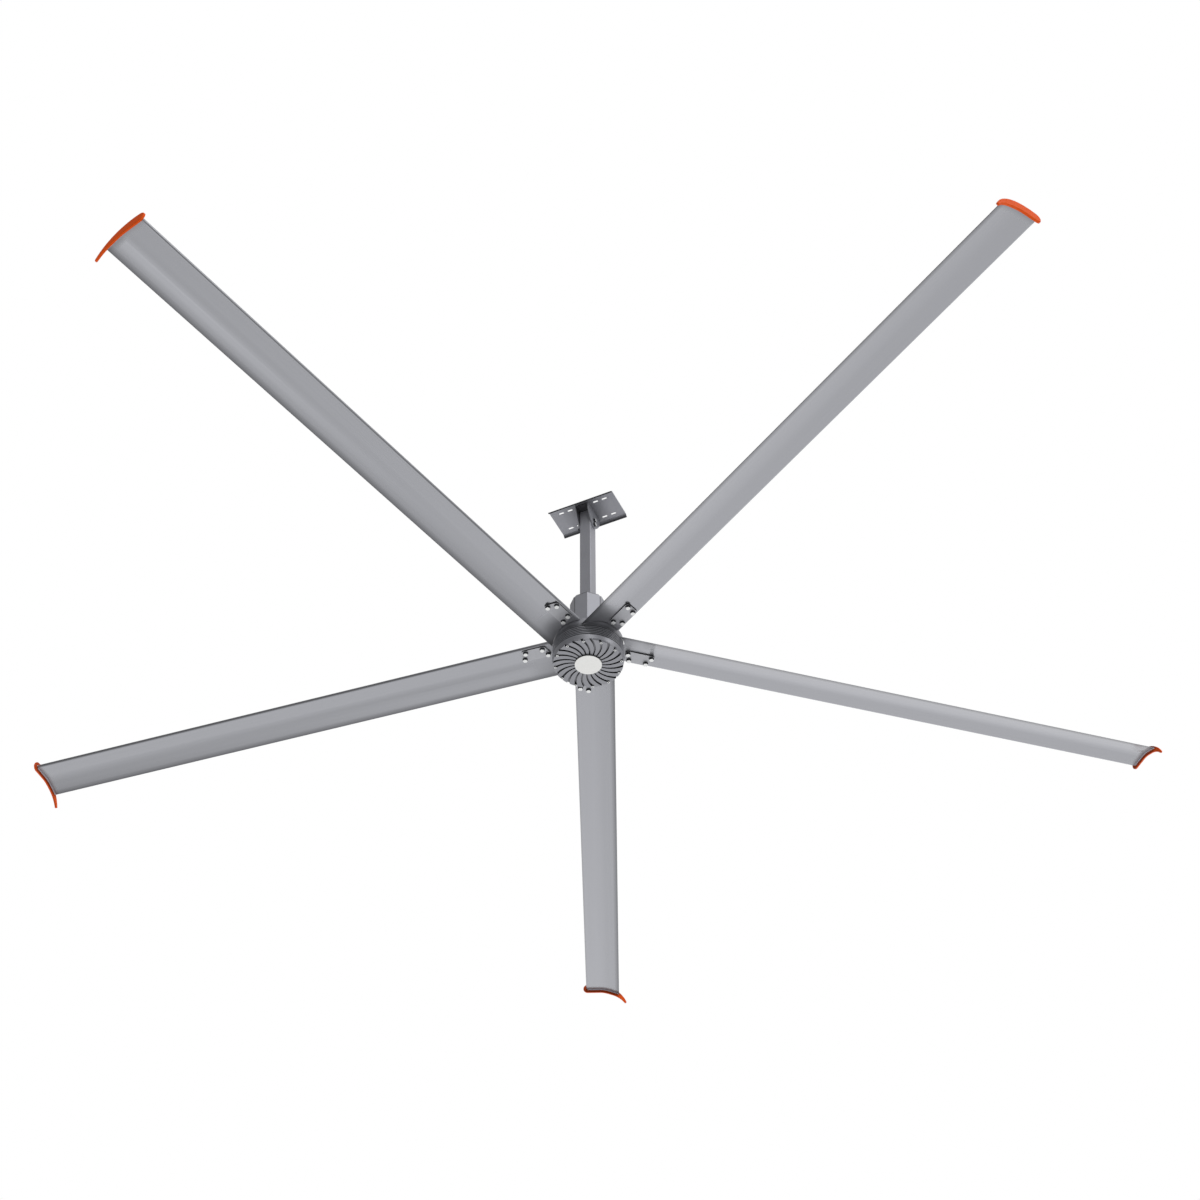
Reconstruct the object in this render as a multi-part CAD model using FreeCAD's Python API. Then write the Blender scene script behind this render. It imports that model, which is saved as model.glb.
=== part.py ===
"""A ceiling-hung high volume low speed fan, built as separate pieces in millimetres.

The origin is the centre of the ceiling plate's top face. +Z is up and +X runs along the plate's slots.
A square tube hangs from the plate and carries a fixed hollow axle. The hub, the ribbed motor shell,
the swirl-grooved cover and the five blades turn about that axle.
"""
import FreeCAD, Part
import math
import os

Vec = FreeCAD.Vector
UP = Vec(0, 0, 1)
ORIGIN = Vec(0, 0, 0)

# Layout of the whole fan
BLADE_COUNT = 5
FIRST_BLADE_ANGLE = 42.1       # degrees from +X to the first blade at rest
BLADE_DROP = 968.0             # ceiling down to the blades' datum, midway between their two edges
BLADE_TIP_RADIUS = 3040.0      # axis to the outer end of the blade extrusion
SLIDE_GAP = 0.2                # room round a piece that slides into another
THREAD_GAP = 0.1               # room round a screw in its tapped hole
BOLT_HOLE_GAP = 0.5            # room round a bolt in its plain hole
PAST = 1.0                     # a cut runs this far past the face it opens
TOUCH = 1e-6                   # points nearer than this are one point

# Ceiling plate
PLATE_LENGTH = 364.0
PLATE_FLAT_WIDTH = 174.0
PLATE_THICKNESS = 6.0
LIP_WIDTH = 22.0               # measured down the slope
LIP_ANGLE = 45.0
SLOT_LENGTH = 30.0
SLOT_WIDTH = 13.5
SLOT_ROW_SPACING = 117.0
SLOT_INNER_SPACING = 148.0     # between the middles of the two inner slots of a row
SLOT_OUTER_SPACING = 248.0

# Saddle under the plate, square tube and socket at its foot
SADDLE_SHEET = 6.0
SADDLE_WIDTH = 152.0
SADDLE_DEPTH = 124.0           # plate underside to the cheeks' lowest point
SADDLE_NOSE_RADIUS = 27.0
SADDLE_NOSE_TURN = 52.0        # turn of the nose's arc on each side, degrees
SADDLE_BULGE = 12.0            # how far the cheeks' sides bow out
SADDLE_BOLT_DROP = 70.0        # plate underside to the upper bolt
COLUMN_BOLT_PITCH = 32.0
TUBE_SIDE = 63.5
TUBE_WALL = 4.0
TUBE_CORNER_RADIUS = 6.0
TUBE_TOP_GAP = 3.0             # saddle web to the tube's top end
TUBE_SIDE_GAP = 0.3            # tube to the cheeks and to the socket
SOCKET_WALL = 6.0
SOCKET_HEIGHT = 120.0
SOCKET_BOLT_RISE = 42.0        # base plate to the lower bolt
BASE_THICKNESS = 12.0

# Eight-sided shroud round the tube's foot, four bent sheets
SHROUD_ACROSS_FLATS = 168.0
SHROUD_SHEET = 2.0
SHROUD_HEIGHT = 249.0
SHROUD_SEAM = 0.8              # open joint between two sheets
SHROUD_CORNER_RADIUS = 15.0
SHROUD_GAP = 12.0              # shroud's lower edge above the turning hub
SHROUD_SCREW_RADIUS = 2.5
SHROUD_SCREW_HEAD_RADIUS = 5.0
SHROUD_SCREW_HEAD_HEIGHT = 2.6
SHROUD_SCREW_LENGTH = 12.0

# Fixed axle, bearings and stator
AXLE_FLANGE_RADIUS = 70.0
AXLE_FLANGE_THICKNESS = 12.0
AXLE_FLANGE_GAP = 16.0         # axle flange above the turning hub
AXLE_NECK_RADIUS = 30.0
AXLE_THREAD_RADIUS = 20.0
CABLE_BORE_RADIUS = 10.0
CABLE_EXIT_RADIUS = 7.0
FLANGE_BOLT_COUNT = 6
FLANGE_BOLT_CIRCLE = 54.0      # radius
BEARING_BORE_RADIUS = 25.0
BEARING_OUTER_RADIUS = 45.0
BEARING_WIDTH = 20.0
BEARING_RACE_WALL = 6.5
BEARING_SHIELD_GAP = 0.4
BEARING_SHIELD = 2.0
UPPER_BEARING_TOP = 18.0       # above the blades' datum
LOWER_BEARING_TOP = -86.0
SEAL_RADIUS = 42.0
SEAL_HEIGHT = 8.0
SEAL_LIP_GAP = 0.3
SEAL_DROP = 1.0                # seal below the hub's top
BEARING_LIP = 5.0              # overlap of the bore's shoulder on a bearing's outer ring
SHAFT_NUT_HEIGHT = 9.0
SHAFT_NUT_ACROSS_FLATS = 54.0
CARRIER_BOSS_RADIUS = 36.0
CARRIER_END_STEP = 1.0         # carrier's ends inside the bearings' inner rings
CARRIER_WEB = 10.0
CARRIER_RIM = 8.0
CARRIER_HOLE_RADIUS = 13.0
CARRIER_HOLE_COUNT = 6
CORE_OUTER_RADIUS = 139.8
CORE_INNER_RADIUS = 88.0
CORE_YOKE = 17.0
CORE_STACK = 42.0
CORE_MIDDLE = -57.0            # middle of the stack, from the blades' datum
TOOTH_COUNT = 24
TOOTH_WIDTH = 16.0
COIL_SIDE = 4.6
COIL_BEVEL = 3.5
COIL_OVERHANG = 8.0
COIL_TIP_GAP = 6.0
AIR_GAP = 1.2
MAGNET_THICKNESS = 5.0
MAGNET_COUNT = 20
MAGNET_SPAN = 16.0             # degrees
MAGNET_LENGTH = 46.0
BACK_IRON = 6.0
BACK_IRON_LENGTH = 60.0
GROMMET_RADIUS = 16.0
GROMMET_FLANGE_RADIUS = 20.0
GROMMET_FLANGE = 3.0

# Turning hub, ribbed shell and grooved cover
HUB_RADIUS = 174.0
HUB_FOOT = -20.0               # underside of the hub, from the blades' datum
HUB_DROP = 0.4                 # hub's top below the struts, so that their bolts clamp them
HUB_EDGE = 5.0
SHELL_RADIUS = 177.0
SHELL_FOOT = -108.0
SHELL_FOOT_RADIUS = 172.0      # below the ribs the shell narrows to this at the cover
SHELL_SKIRT = 18.0             # height of the plain part below the ribs
RIB_COUNT = 6
RIB_WIDTH = 4.0
RIB_DEPTH = 6.0
RIB_DRAFT = 1.0                # run of a rib's sloping flank
RIB_TOP_BAND = 5.0
REGISTER = 4.0                 # depth of the spigots that centre the hub and the cover in the shell
COVER_THICKNESS = 11.5
COVER_EDGE = 1.5
COVER_BOSS_WALL = 11.0
COVER_BOSS_RISE = 2.0          # bearing boss above the bearing
GROOVE_COUNT = 24
GROOVE_INNER_WIDTH = 6.5
GROOVE_OUTER_WIDTH = 13.0
GROOVE_DEPTH = 9.5
GROOVE_START_ANGLE = 3.1       # from the first blade to the first groove's inner end
GROOVE_MID_SWEEP = -6.6        # turn of the groove half way out and past the rim
GROOVE_END_SWEEP = -20.0
TIE_BOLT_COUNT = 12
TIE_BOLT_CIRCLE = 163.0        # radius
TIE_BOLT_ANGLE = 5.3           # from the first blade to the first bolt
TIE_BOLT_RADIUS = 4.0
TIE_BOLT_SEAT_RADIUS = 6.8     # pillar beside a groove that carries the bolt's head
TIE_BOLT_HEAD_RADIUS = 6.5
TIE_BOLT_HEAD_HEIGHT = 5.0
TIE_BOLT_GRIP = 12.0           # length inside the hub
DISC_RADIUS = 66.5
DISC_THICKNESS = 1.5
DISC_OVERHANG = 1.0            # disc beyond the boss that carries it
DISC_SEAT = 6.0                # height of that boss
DISC_SPIGOT_WALL = 3.0
DISC_SPIGOT_DEPTH = 5.0

# Blade section, along the chord (towards the leading edge) and up, from the blade's radial axis
NOSE_RADIUS = 9.5
NOSE_PLACE = 61.0
UNDERSIDE_HEIGHT = 13.5        # flat front part of the underside above the datum
UNDERSIDE_BEND = -12.0         # where the flat part ends
UNDERSIDE_BEND_RADIUS = 150.0
UNDERSIDE_BEND_ANGLE = 16.0    # turn of this first arc, degrees
UNDERSIDE_REAR_RADIUS = 450.0  # flatter arc that runs on to the trailing edge
TOP_RISE = 9.0                 # slope behind the nose, degrees
TOP_DROOP = 30.0               # slope towards the trailing edge
TRAILING_EDGE = -128.0
TRAILING_THICKNESS = 4.0
BLADE_WALL = 3.0
BLADE_WEB = 3.0
WEB_PLACE = -14.0              # middle of the web between the front and the rear cell
CELL_END_HEIGHT = 2.0          # the rear cell ends where it is this low, the rest is solid
ROOT_GAP = 4.0                 # blade's root to the hub

# Struts that carry the blades, clamp plates and bolts
STRUT_INNER_RADIUS = 88.0
STRUT_OVERHANG = 27.0          # beyond the outermost bolt
STRUT_TOP_GAP = 0.5
STRUT_CORNER_RADIUS = 8.0
STRUT_WEB_GAP = 3.0            # blade's web to the strut
BOLT_AFT_ROW = 4.5
BOLT_FORE_ROW = 45.5
BLADE_BOLT_MIDDLE = 268.0      # radius of the middle of the bolt group
BLADE_BOLT_AFT_SPACING = 122.0
BLADE_BOLT_FORE_SPACING = 87.0
HUB_BOLT_RADII = (112.0, 154.0)
HUB_BOLT_GRIP = 18.0
CLAMP_THICKNESS = 6.0
CLAMP_AFT_LENGTH = 160.0
CLAMP_FORE_LENGTH = 118.0
CLAMP_FORE_EDGE = 62.0
CLAMP_CORNER_RADIUS = 14.0

# Flanged bolts, twelve millimetre and ten millimetre
BOLT_RADIUS = 6.0
BOLT_HEX = 19.0
BOLT_FLANGE_RADIUS = 13.0
BOLT_FLANGE = 2.5
BOLT_HEAD = 10.0
BOLT_SHOW = 5.0                # thread standing out of a nut
SMALL_BOLT_RADIUS = 5.0
SMALL_BOLT_HEX = 15.0
SMALL_BOLT_FLANGE_RADIUS = 10.5
SMALL_BOLT_FLANGE = 2.0
SMALL_BOLT_HEAD = 8.0

# End plug and tip cap of a blade
PLUG_FLANGE = 6.0
PLUG_SKIRT = 8.0               # flange below the blade's underside
PLUG_DEPTH = 40.0
CAP_THICKNESS = 10.0
CAP_MARGIN = 17.0              # cap beyond the blade's section all round
CAP_EDGE = 3.0
TAIL_LOWER_START = -95.0       # where the tail leaves the grown section, below and above
TAIL_UPPER_START = -40.0
TAIL_LOWER_RADIUS = 150.0
TAIL_SLOPE = 57.0              # of the tail's lower side at its end, degrees
TAIL_WIDTH = 11.5
TAIL_TIP_RADIUS = 4.5
PEG_RADIUS = 5.0
PEG_LENGTH = 24.0
PEG_CHORDS = (8.0, 44.0)

# Levels worked out from the sizes above
BLADE_Z = -BLADE_DROP
PLATE_UNDERSIDE = -PLATE_THICKNESS
SADDLE_HALF_INSIDE = TUBE_SIDE / 2 + TUBE_SIDE_GAP
STRUT_FLOOR = UNDERSIDE_HEIGHT + BLADE_WALL
STRUT_AFT = WEB_PLACE + BLADE_WEB / 2 + STRUT_WEB_GAP
STRUT_FORE = NOSE_PLACE - STRUT_TOP_GAP
STRUT_OUTER_RADIUS = BLADE_BOLT_MIDDLE + BLADE_BOLT_AFT_SPACING / 2 + STRUT_OVERHANG
COVER_FACE = SHELL_FOOT - COVER_THICKNESS
DISC_BACK = COVER_FACE - DISC_SEAT
MAGNET_INNER_RADIUS = CORE_OUTER_RADIUS + AIR_GAP
SHELL_INNER_RADIUS = MAGNET_INNER_RADIUS + MAGNET_THICKNESS + BACK_IRON
COVER_HOLE_RADIUS = BEARING_OUTER_RADIUS - BEARING_LIP
SHAFT_END = LOWER_BEARING_TOP - BEARING_WIDTH - SHAFT_NUT_HEIGHT
SHROUD_FLAT = SHROUD_ACROSS_FLATS / 2


def lower(shape):
    """Move a shape built about the blades' datum down to where the blades hang."""
    return shape.translated(Vec(0, 0, BLADE_Z))


def turned_about_z(shape, degrees):
    """Return the shape turned about the fan's axis."""
    return shape.rotated(ORIGIN, UP, degrees)


def drum(radius, low, high, x=0.0, y=0.0):
    """Return an upright cylinder."""
    return Part.makeCylinder(radius, high - low, Vec(x, y, low))


def ring(outer, inner, low, high):
    """Return an upright ring."""
    return drum(outer, low, high).cut(drum(inner, low - PAST, high + PAST))


def block(x0, x1, y0, y1, z0, z1):
    """Return a box between two corners."""
    return Part.makeBox(x1 - x0, y1 - y0, z1 - z0, Vec(x0, y0, z0))


def lathe(profile):
    """Turn a closed profile of (radius, height) points about the axis."""
    points = [Vec(r, 0, z) for r, z in profile]
    face = Part.Face(Part.makePolygon(points + points[:1]))
    return face.revolve(ORIGIN, UP, 360)


def polygon_prism(points, low, high):
    """Raise a closed outline of (x, y) points between two heights."""
    corners = [Vec(x, y, low) for x, y in points]
    face = Part.Face(Part.makePolygon(corners + corners[:1]))
    return face.extrude(Vec(0, 0, high - low))


def upright_edges(shape):
    """Return the straight edges that run along Z."""
    return [e for e in shape.Edges if is_upright(e)]


def is_upright(edge):
    """Tell whether an edge is a straight line along Z."""
    if not isinstance(edge.Curve, Part.Line):
        return False
    return abs(edge.tangentAt(edge.FirstParameter).z) > 0.999


def hexagon(across, low, high):
    """Return a hexagonal prism about the axis."""
    reach = across / math.sqrt(3)
    angles = [math.radians(60 * k) for k in range(6)]
    points = [(reach * math.cos(a), reach * math.sin(a)) for a in angles]
    return polygon_prism(points, low, high)


def flange_bolt(length):
    """Return a flanged bolt: the head stands on z = 0 and the shank hangs below."""
    head = drum(BOLT_FLANGE_RADIUS, 0, BOLT_FLANGE).fuse(hexagon(BOLT_HEX, 0, BOLT_HEAD))
    return head.fuse(drum(BOLT_RADIUS, -length, 0)).removeSplitter()


def small_flange_bolt(length):
    """Return the smaller flanged bolt, in the same pose."""
    head = drum(SMALL_BOLT_FLANGE_RADIUS, 0, SMALL_BOLT_FLANGE)
    head = head.fuse(hexagon(SMALL_BOLT_HEX, 0, SMALL_BOLT_HEAD))
    return head.fuse(drum(SMALL_BOLT_RADIUS, -length, 0)).removeSplitter()


def flange_nut():
    """Return a flanged nut standing on z = 0."""
    body = drum(BOLT_FLANGE_RADIUS, 0, BOLT_FLANGE).fuse(hexagon(BOLT_HEX, 0, BOLT_HEAD))
    return body.cut(drum(BOLT_RADIUS + THREAD_GAP, -PAST, BOLT_HEAD + PAST)).removeSplitter()


def round_the_axis(shape, count, first=0.0):
    """Return copies of a shape evenly spaced about the axis."""
    return [turned_about_z(shape, first + 360.0 / count * k) for k in range(count)]


# Ceiling plate and saddle


def slot_cutter(x, y):
    """Return a round-ended slot through the plate, its length along X."""
    half = (SLOT_LENGTH - SLOT_WIDTH) / 2
    low = PLATE_UNDERSIDE - PAST
    bar = block(x - half, x + half, y - SLOT_WIDTH / 2, y + SLOT_WIDTH / 2, low, PAST)
    ends = [drum(SLOT_WIDTH / 2, low, PAST, x + side * half, y) for side in (-1, 1)]
    return bar.fuse(ends).removeSplitter()


def ceiling_plate():
    """Return the slotted plate with its two long edges bent down."""
    half = PLATE_FLAT_WIDTH / 2
    run = LIP_WIDTH * math.cos(math.radians(LIP_ANGLE))
    fall = LIP_WIDTH * math.sin(math.radians(LIP_ANGLE))
    shift = PLATE_THICKNESS * math.tan(math.radians(LIP_ANGLE / 2))
    lean_out = PLATE_THICKNESS * math.sin(math.radians(LIP_ANGLE))
    lean_down = PLATE_THICKNESS * math.cos(math.radians(LIP_ANGLE))
    right = [(half, 0), (half + run, -fall), (half + run - lean_out, -fall - lean_down),
             (half - shift, PLATE_UNDERSIDE)]
    outline = right + [(-y, z) for y, z in reversed(right)]
    corners = [Vec(-PLATE_LENGTH / 2, y, z) for y, z in outline]
    plate = Part.Face(Part.makePolygon(corners + corners[:1])).extrude(Vec(PLATE_LENGTH, 0, 0))
    columns = (SLOT_INNER_SPACING / 2, SLOT_OUTER_SPACING / 2)
    rows = (-SLOT_ROW_SPACING / 2, SLOT_ROW_SPACING / 2)
    slots = [slot_cutter(side * x, y) for x in columns for side in (-1, 1) for y in rows]
    return plate.cut(slots)


def saddle_outline():
    """Return the cheeks' shield outline in the YZ plane, hanging from the plate's underside."""
    half = SADDLE_WIDTH / 2
    nose_z = PLATE_UNDERSIDE - SADDLE_DEPTH + SADDLE_NOSE_RADIUS
    turn = math.radians(SADDLE_NOSE_TURN)
    joint = Vec(0, SADDLE_NOSE_RADIUS * math.sin(turn), nose_z - SADDLE_NOSE_RADIUS * math.cos(turn))
    corner = Vec(0, half, PLATE_UNDERSIDE)
    along = joint - corner
    out = Vec(0, -along.z, along.y).normalize()
    middle = (corner + joint) * 0.5 + out * SADDLE_BULGE
    lowest = Vec(0, 0, nose_z - SADDLE_NOSE_RADIUS)

    def mirrored(p):
        return Vec(p.x, -p.y, p.z)

    edges = [Part.makeLine(mirrored(corner), corner), Part.Arc(corner, middle, joint).toShape(),
             Part.Arc(joint, lowest, mirrored(joint)).toShape(),
             Part.Arc(mirrored(joint), mirrored(middle), mirrored(corner)).toShape()]
    return Part.Face(Part.Wire(edges))


def column_bolt_heights():
    """Return the heights of the four cross bolts, the saddle's two and then the socket's two."""
    upper = PLATE_UNDERSIDE - SADDLE_BOLT_DROP
    base_top = base_plate_top()
    first = base_top + SOCKET_BOLT_RISE
    return [upper, upper - COLUMN_BOLT_PITCH, first, first + COLUMN_BOLT_PITCH]


def cross_holes(radius, reach):
    """Return the four drillings along X for the column's bolts."""
    starts = [Vec(-reach, 0, z) for z in column_bolt_heights()]
    return [Part.makeCylinder(radius, 2 * reach, start, Vec(1, 0, 0)) for start in starts]


def saddle():
    """Return the folded saddle: a web under the plate and two shield-shaped cheeks."""
    outside = SADDLE_HALF_INSIDE + SADDLE_SHEET
    face = saddle_outline()
    face.translate(Vec(-outside, 0, 0))
    body = face.extrude(Vec(2 * outside, 0, 0))
    low = PLATE_UNDERSIDE - SADDLE_DEPTH - PAST
    gap = block(-SADDLE_HALF_INSIDE, SADDLE_HALF_INSIDE, -SADDLE_WIDTH, SADDLE_WIDTH, low,
                PLATE_UNDERSIDE - SADDLE_SHEET)
    return body.cut([gap] + cross_holes(BOLT_RADIUS + BOLT_HOLE_GAP, outside + PAST))


def square_bar(side, corner, low, high):
    """Return an upright square bar with rounded corners."""
    bar = block(-side / 2, side / 2, -side / 2, side / 2, low, high)
    return bar.makeFillet(corner, upright_edges(bar))


def down_tube():
    """Return the square tube, drilled for its cross bolts."""
    high = PLATE_UNDERSIDE - SADDLE_SHEET - TUBE_TOP_GAP
    low = base_plate_top()
    bore_side = TUBE_SIDE - 2 * TUBE_WALL
    tube = square_bar(TUBE_SIDE, TUBE_CORNER_RADIUS, low, high)
    tube = tube.cut(square_bar(bore_side, TUBE_CORNER_RADIUS - TUBE_WALL, low - PAST, high + PAST))
    return tube.cut(cross_holes(BOLT_RADIUS + BOLT_HOLE_GAP, TUBE_SIDE))


# Foot of the tube: socket, shroud and bolts


def hub_top():
    """Return the height of the hub's top above the datum."""
    return strut_top() - HUB_DROP


def base_plate_top():
    """Return the height of the socket's base plate."""
    return BLADE_Z + hub_top() + AXLE_FLANGE_GAP + AXLE_FLANGE_THICKNESS + BASE_THICKNESS


def octagon(flat):
    """Return the corners of an upright octagon, the first two on its -Y side."""
    reach = flat / math.cos(math.radians(22.5))
    angles = [math.radians(-112.5 + 45 * k) for k in range(8)]
    return [(reach * math.cos(a), reach * math.sin(a)) for a in angles]


def motor_socket():
    """Return the welded foot: an eight-sided base plate with a square sleeve for the tube."""
    top = base_plate_top()
    base = polygon_prism(octagon(SHROUD_FLAT - SHROUD_SHEET), top - BASE_THICKNESS, top)
    inside = TUBE_SIDE + 2 * TUBE_SIDE_GAP
    sleeve = square_bar(inside + 2 * SOCKET_WALL, TUBE_CORNER_RADIUS + SOCKET_WALL, top,
                        top + SOCKET_HEIGHT)
    body = base.fuse(sleeve)
    high = top + SOCKET_HEIGHT
    body = body.cut(square_bar(inside, TUBE_CORNER_RADIUS + TUBE_SIDE_GAP, top, high + PAST))
    cuts = cross_holes(BOLT_RADIUS + BOLT_HOLE_GAP, inside)
    through = (top - BASE_THICKNESS - PAST, top + PAST)
    cuts.append(drum(GROMMET_RADIUS, *through))
    flange_hole = drum(SMALL_BOLT_RADIUS + THREAD_GAP, *through, FLANGE_BOLT_CIRCLE)
    cuts += round_the_axis(flange_hole, FLANGE_BOLT_COUNT)
    screw_end = SHROUD_FLAT - SHROUD_SHEET - SHROUD_SCREW_LENGTH
    screw_hole = shroud_screw_drilling(SHROUD_SCREW_RADIUS + THREAD_GAP, screw_end, SHROUD_FLAT)
    return body.cut(cuts + round_the_axis(screw_hole, 8))


def shroud_screw_drilling(radius, start, end):
    """Return a cylinder along +X between two distances from the axis, level with the base plate's edge."""
    middle = base_plate_top() - BASE_THICKNESS / 2
    return Part.makeCylinder(radius, end - start, Vec(start, 0, middle), Vec(1, 0, 0))


def shroud_panel(quarter):
    """Return one of the four sheets, each bent once and covering two faces of the octagon."""
    outer = [Vec(x, y, 0) for x, y in octagon(SHROUD_FLAT)]
    inner = [Vec(x, y, 0) for x, y in octagon(SHROUD_FLAT - SHROUD_SHEET)]
    first = (outer[1] - outer[0]).normalize() * (SHROUD_SEAM / 2)
    last = (outer[2] - outer[1]).normalize() * (SHROUD_SEAM / 2)
    plan = [outer[0] + first, outer[1], outer[2] - last, inner[2] - last, inner[1], inner[0] + first]
    low = BLADE_Z + hub_top() + SHROUD_GAP
    sheet = polygon_prism([(p.x, p.y) for p in plan], low, low + SHROUD_HEIGHT)
    corner = shroud_corner(low + SHROUD_HEIGHT)
    far_corner = turned_about_z(corner.mirror(ORIGIN, Vec(1, 0, 0)), 45)
    inside = SHROUD_FLAT - 2 * SHROUD_SHEET
    hole = shroud_screw_drilling(SHROUD_SCREW_RADIUS + BOLT_HOLE_GAP, inside, SHROUD_FLAT + PAST)
    holes = [turned_about_z(hole, angle) for angle in (-90, -45)]
    return turned_about_z(sheet.cut([corner, far_corner] + holes), 90 * quarter)


def shroud_corner(top):
    """Return what is rounded off a sheet's free top corner, at the -X end of the -Y face."""
    radius = SHROUD_CORNER_RADIUS
    end = SHROUD_SEAM / 2 - SHROUD_FLAT * math.tan(math.radians(22.5))
    depth = 3 * SHROUD_SHEET
    face = -SHROUD_FLAT - SHROUD_SHEET
    square = block(end - PAST, end + radius, face, face + depth, top - radius, top + PAST)
    return square.cut(Part.makeCylinder(radius, depth, Vec(end + radius, face, top - radius), Vec(0, 1, 0)))


def shroud_screws():
    """Return the eight flat-head screws round the base plate's edge."""
    shank = drum(SHROUD_SCREW_RADIUS, -SHROUD_SHEET - SHROUD_SCREW_LENGTH, 0)
    screw = shank.fuse(drum(SHROUD_SCREW_HEAD_RADIUS, 0, SHROUD_SCREW_HEAD_HEIGHT)).removeSplitter()
    screw.rotate(ORIGIN, Vec(0, 1, 0), 90)
    screw.translate(Vec(SHROUD_FLAT, 0, base_plate_top() - BASE_THICKNESS / 2))
    return round_the_axis(screw, 8)


def column_bolts():
    """Return the four cross bolts, heads towards +X."""
    grip = 2 * (SADDLE_HALF_INSIDE + SADDLE_SHEET)
    bolt = flange_bolt(grip + BOLT_HEAD + BOLT_SHOW)
    bolt.rotate(ORIGIN, Vec(0, 1, 0), 90)
    seats = [SADDLE_HALF_INSIDE + SADDLE_SHEET] * 2 + [SADDLE_HALF_INSIDE + SOCKET_WALL] * 2
    return [bolt.translated(Vec(x, 0, z)) for x, z in zip(seats, column_bolt_heights())]


def column_nuts():
    """Return the nuts on the cross bolts' -X ends."""
    nut = flange_nut()
    nut.rotate(ORIGIN, Vec(0, 1, 0), -90)
    seats = [SADDLE_HALF_INSIDE + SADDLE_SHEET] * 2 + [SADDLE_HALF_INSIDE + SOCKET_WALL] * 2
    return [nut.translated(Vec(-x, 0, z)) for x, z in zip(seats, column_bolt_heights())]


def cable_grommet():
    """Return the rubber grommet where the cable passes the base plate."""
    top = base_plate_top()
    body = drum(GROMMET_RADIUS - SLIDE_GAP, top - BASE_THICKNESS, top)
    body = body.fuse(drum(GROMMET_FLANGE_RADIUS, top, top + GROMMET_FLANGE))
    bore = drum(CABLE_BORE_RADIUS, top - BASE_THICKNESS - PAST, top + GROMMET_FLANGE + PAST)
    return body.cut(bore).removeSplitter()


# Fixed axle and stator, about the blades' datum


def axle():
    """Return the hollow axle with its top flange, bearing seats and threaded end."""
    flange_low = hub_top() + AXLE_FLANGE_GAP
    flange_high = flange_low + AXLE_FLANGE_THICKNESS
    thread_start = LOWER_BEARING_TOP - BEARING_WIDTH
    profile = [(0, flange_high), (AXLE_FLANGE_RADIUS, flange_high), (AXLE_FLANGE_RADIUS, flange_low),
               (AXLE_NECK_RADIUS, flange_low), (AXLE_NECK_RADIUS, UPPER_BEARING_TOP),
               (BEARING_BORE_RADIUS, UPPER_BEARING_TOP), (BEARING_BORE_RADIUS, thread_start),
               (AXLE_THREAD_RADIUS, thread_start), (AXLE_THREAD_RADIUS, SHAFT_END), (0, SHAFT_END)]
    body = lathe(profile)
    cable_end = cable_exit_height()
    cuts = [drum(CABLE_BORE_RADIUS, cable_end - CABLE_EXIT_RADIUS, flange_high + PAST), cable_exit()]
    hole = drum(SMALL_BOLT_RADIUS + BOLT_HOLE_GAP, flange_low - PAST, flange_high + PAST,
                FLANGE_BOLT_CIRCLE)
    cuts += round_the_axis(hole, FLANGE_BOLT_COUNT)
    return lower(body.cut(cuts))


def cable_exit_height():
    """Return the height of the cable's side exit, just under the upper bearing."""
    return UPPER_BEARING_TOP - BEARING_WIDTH - 2 * CABLE_EXIT_RADIUS


def cable_exit():
    """Return the side drilling through the axle and the stator's boss."""
    start = Vec(0, 0, cable_exit_height())
    return Part.makeCylinder(CABLE_EXIT_RADIUS, 2 * CARRIER_BOSS_RADIUS, start, Vec(1, 0, 0))


def flange_bolts():
    """Return the bolts that hold the axle's flange up against the base plate."""
    bolt = small_flange_bolt(AXLE_FLANGE_THICKNESS + BASE_THICKNESS)
    bolt.rotate(ORIGIN, Vec(1, 0, 0), 180)
    bolt.translate(Vec(FLANGE_BOLT_CIRCLE, 0, hub_top() + AXLE_FLANGE_GAP))
    return [lower(b) for b in round_the_axis(bolt, FLANGE_BOLT_COUNT)]


def bearing_inner_ring(top):
    """Return a sealed bearing's inner ring."""
    outer = BEARING_BORE_RADIUS + BEARING_RACE_WALL
    return lower(ring(outer, BEARING_BORE_RADIUS, top - BEARING_WIDTH, top))


def bearing_outer_ring(top):
    """Return a sealed bearing's outer ring with the two shields that close its sides."""
    low = top - BEARING_WIDTH
    race = BEARING_OUTER_RADIUS - BEARING_RACE_WALL
    shield = BEARING_BORE_RADIUS + BEARING_RACE_WALL + BEARING_SHIELD_GAP
    profile = [(BEARING_OUTER_RADIUS, low), (BEARING_OUTER_RADIUS, top), (shield, top),
               (shield, top - BEARING_SHIELD), (race, top - BEARING_SHIELD), (race, low + BEARING_SHIELD),
               (shield, low + BEARING_SHIELD), (shield, low)]
    return lower(lathe(profile))


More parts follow.
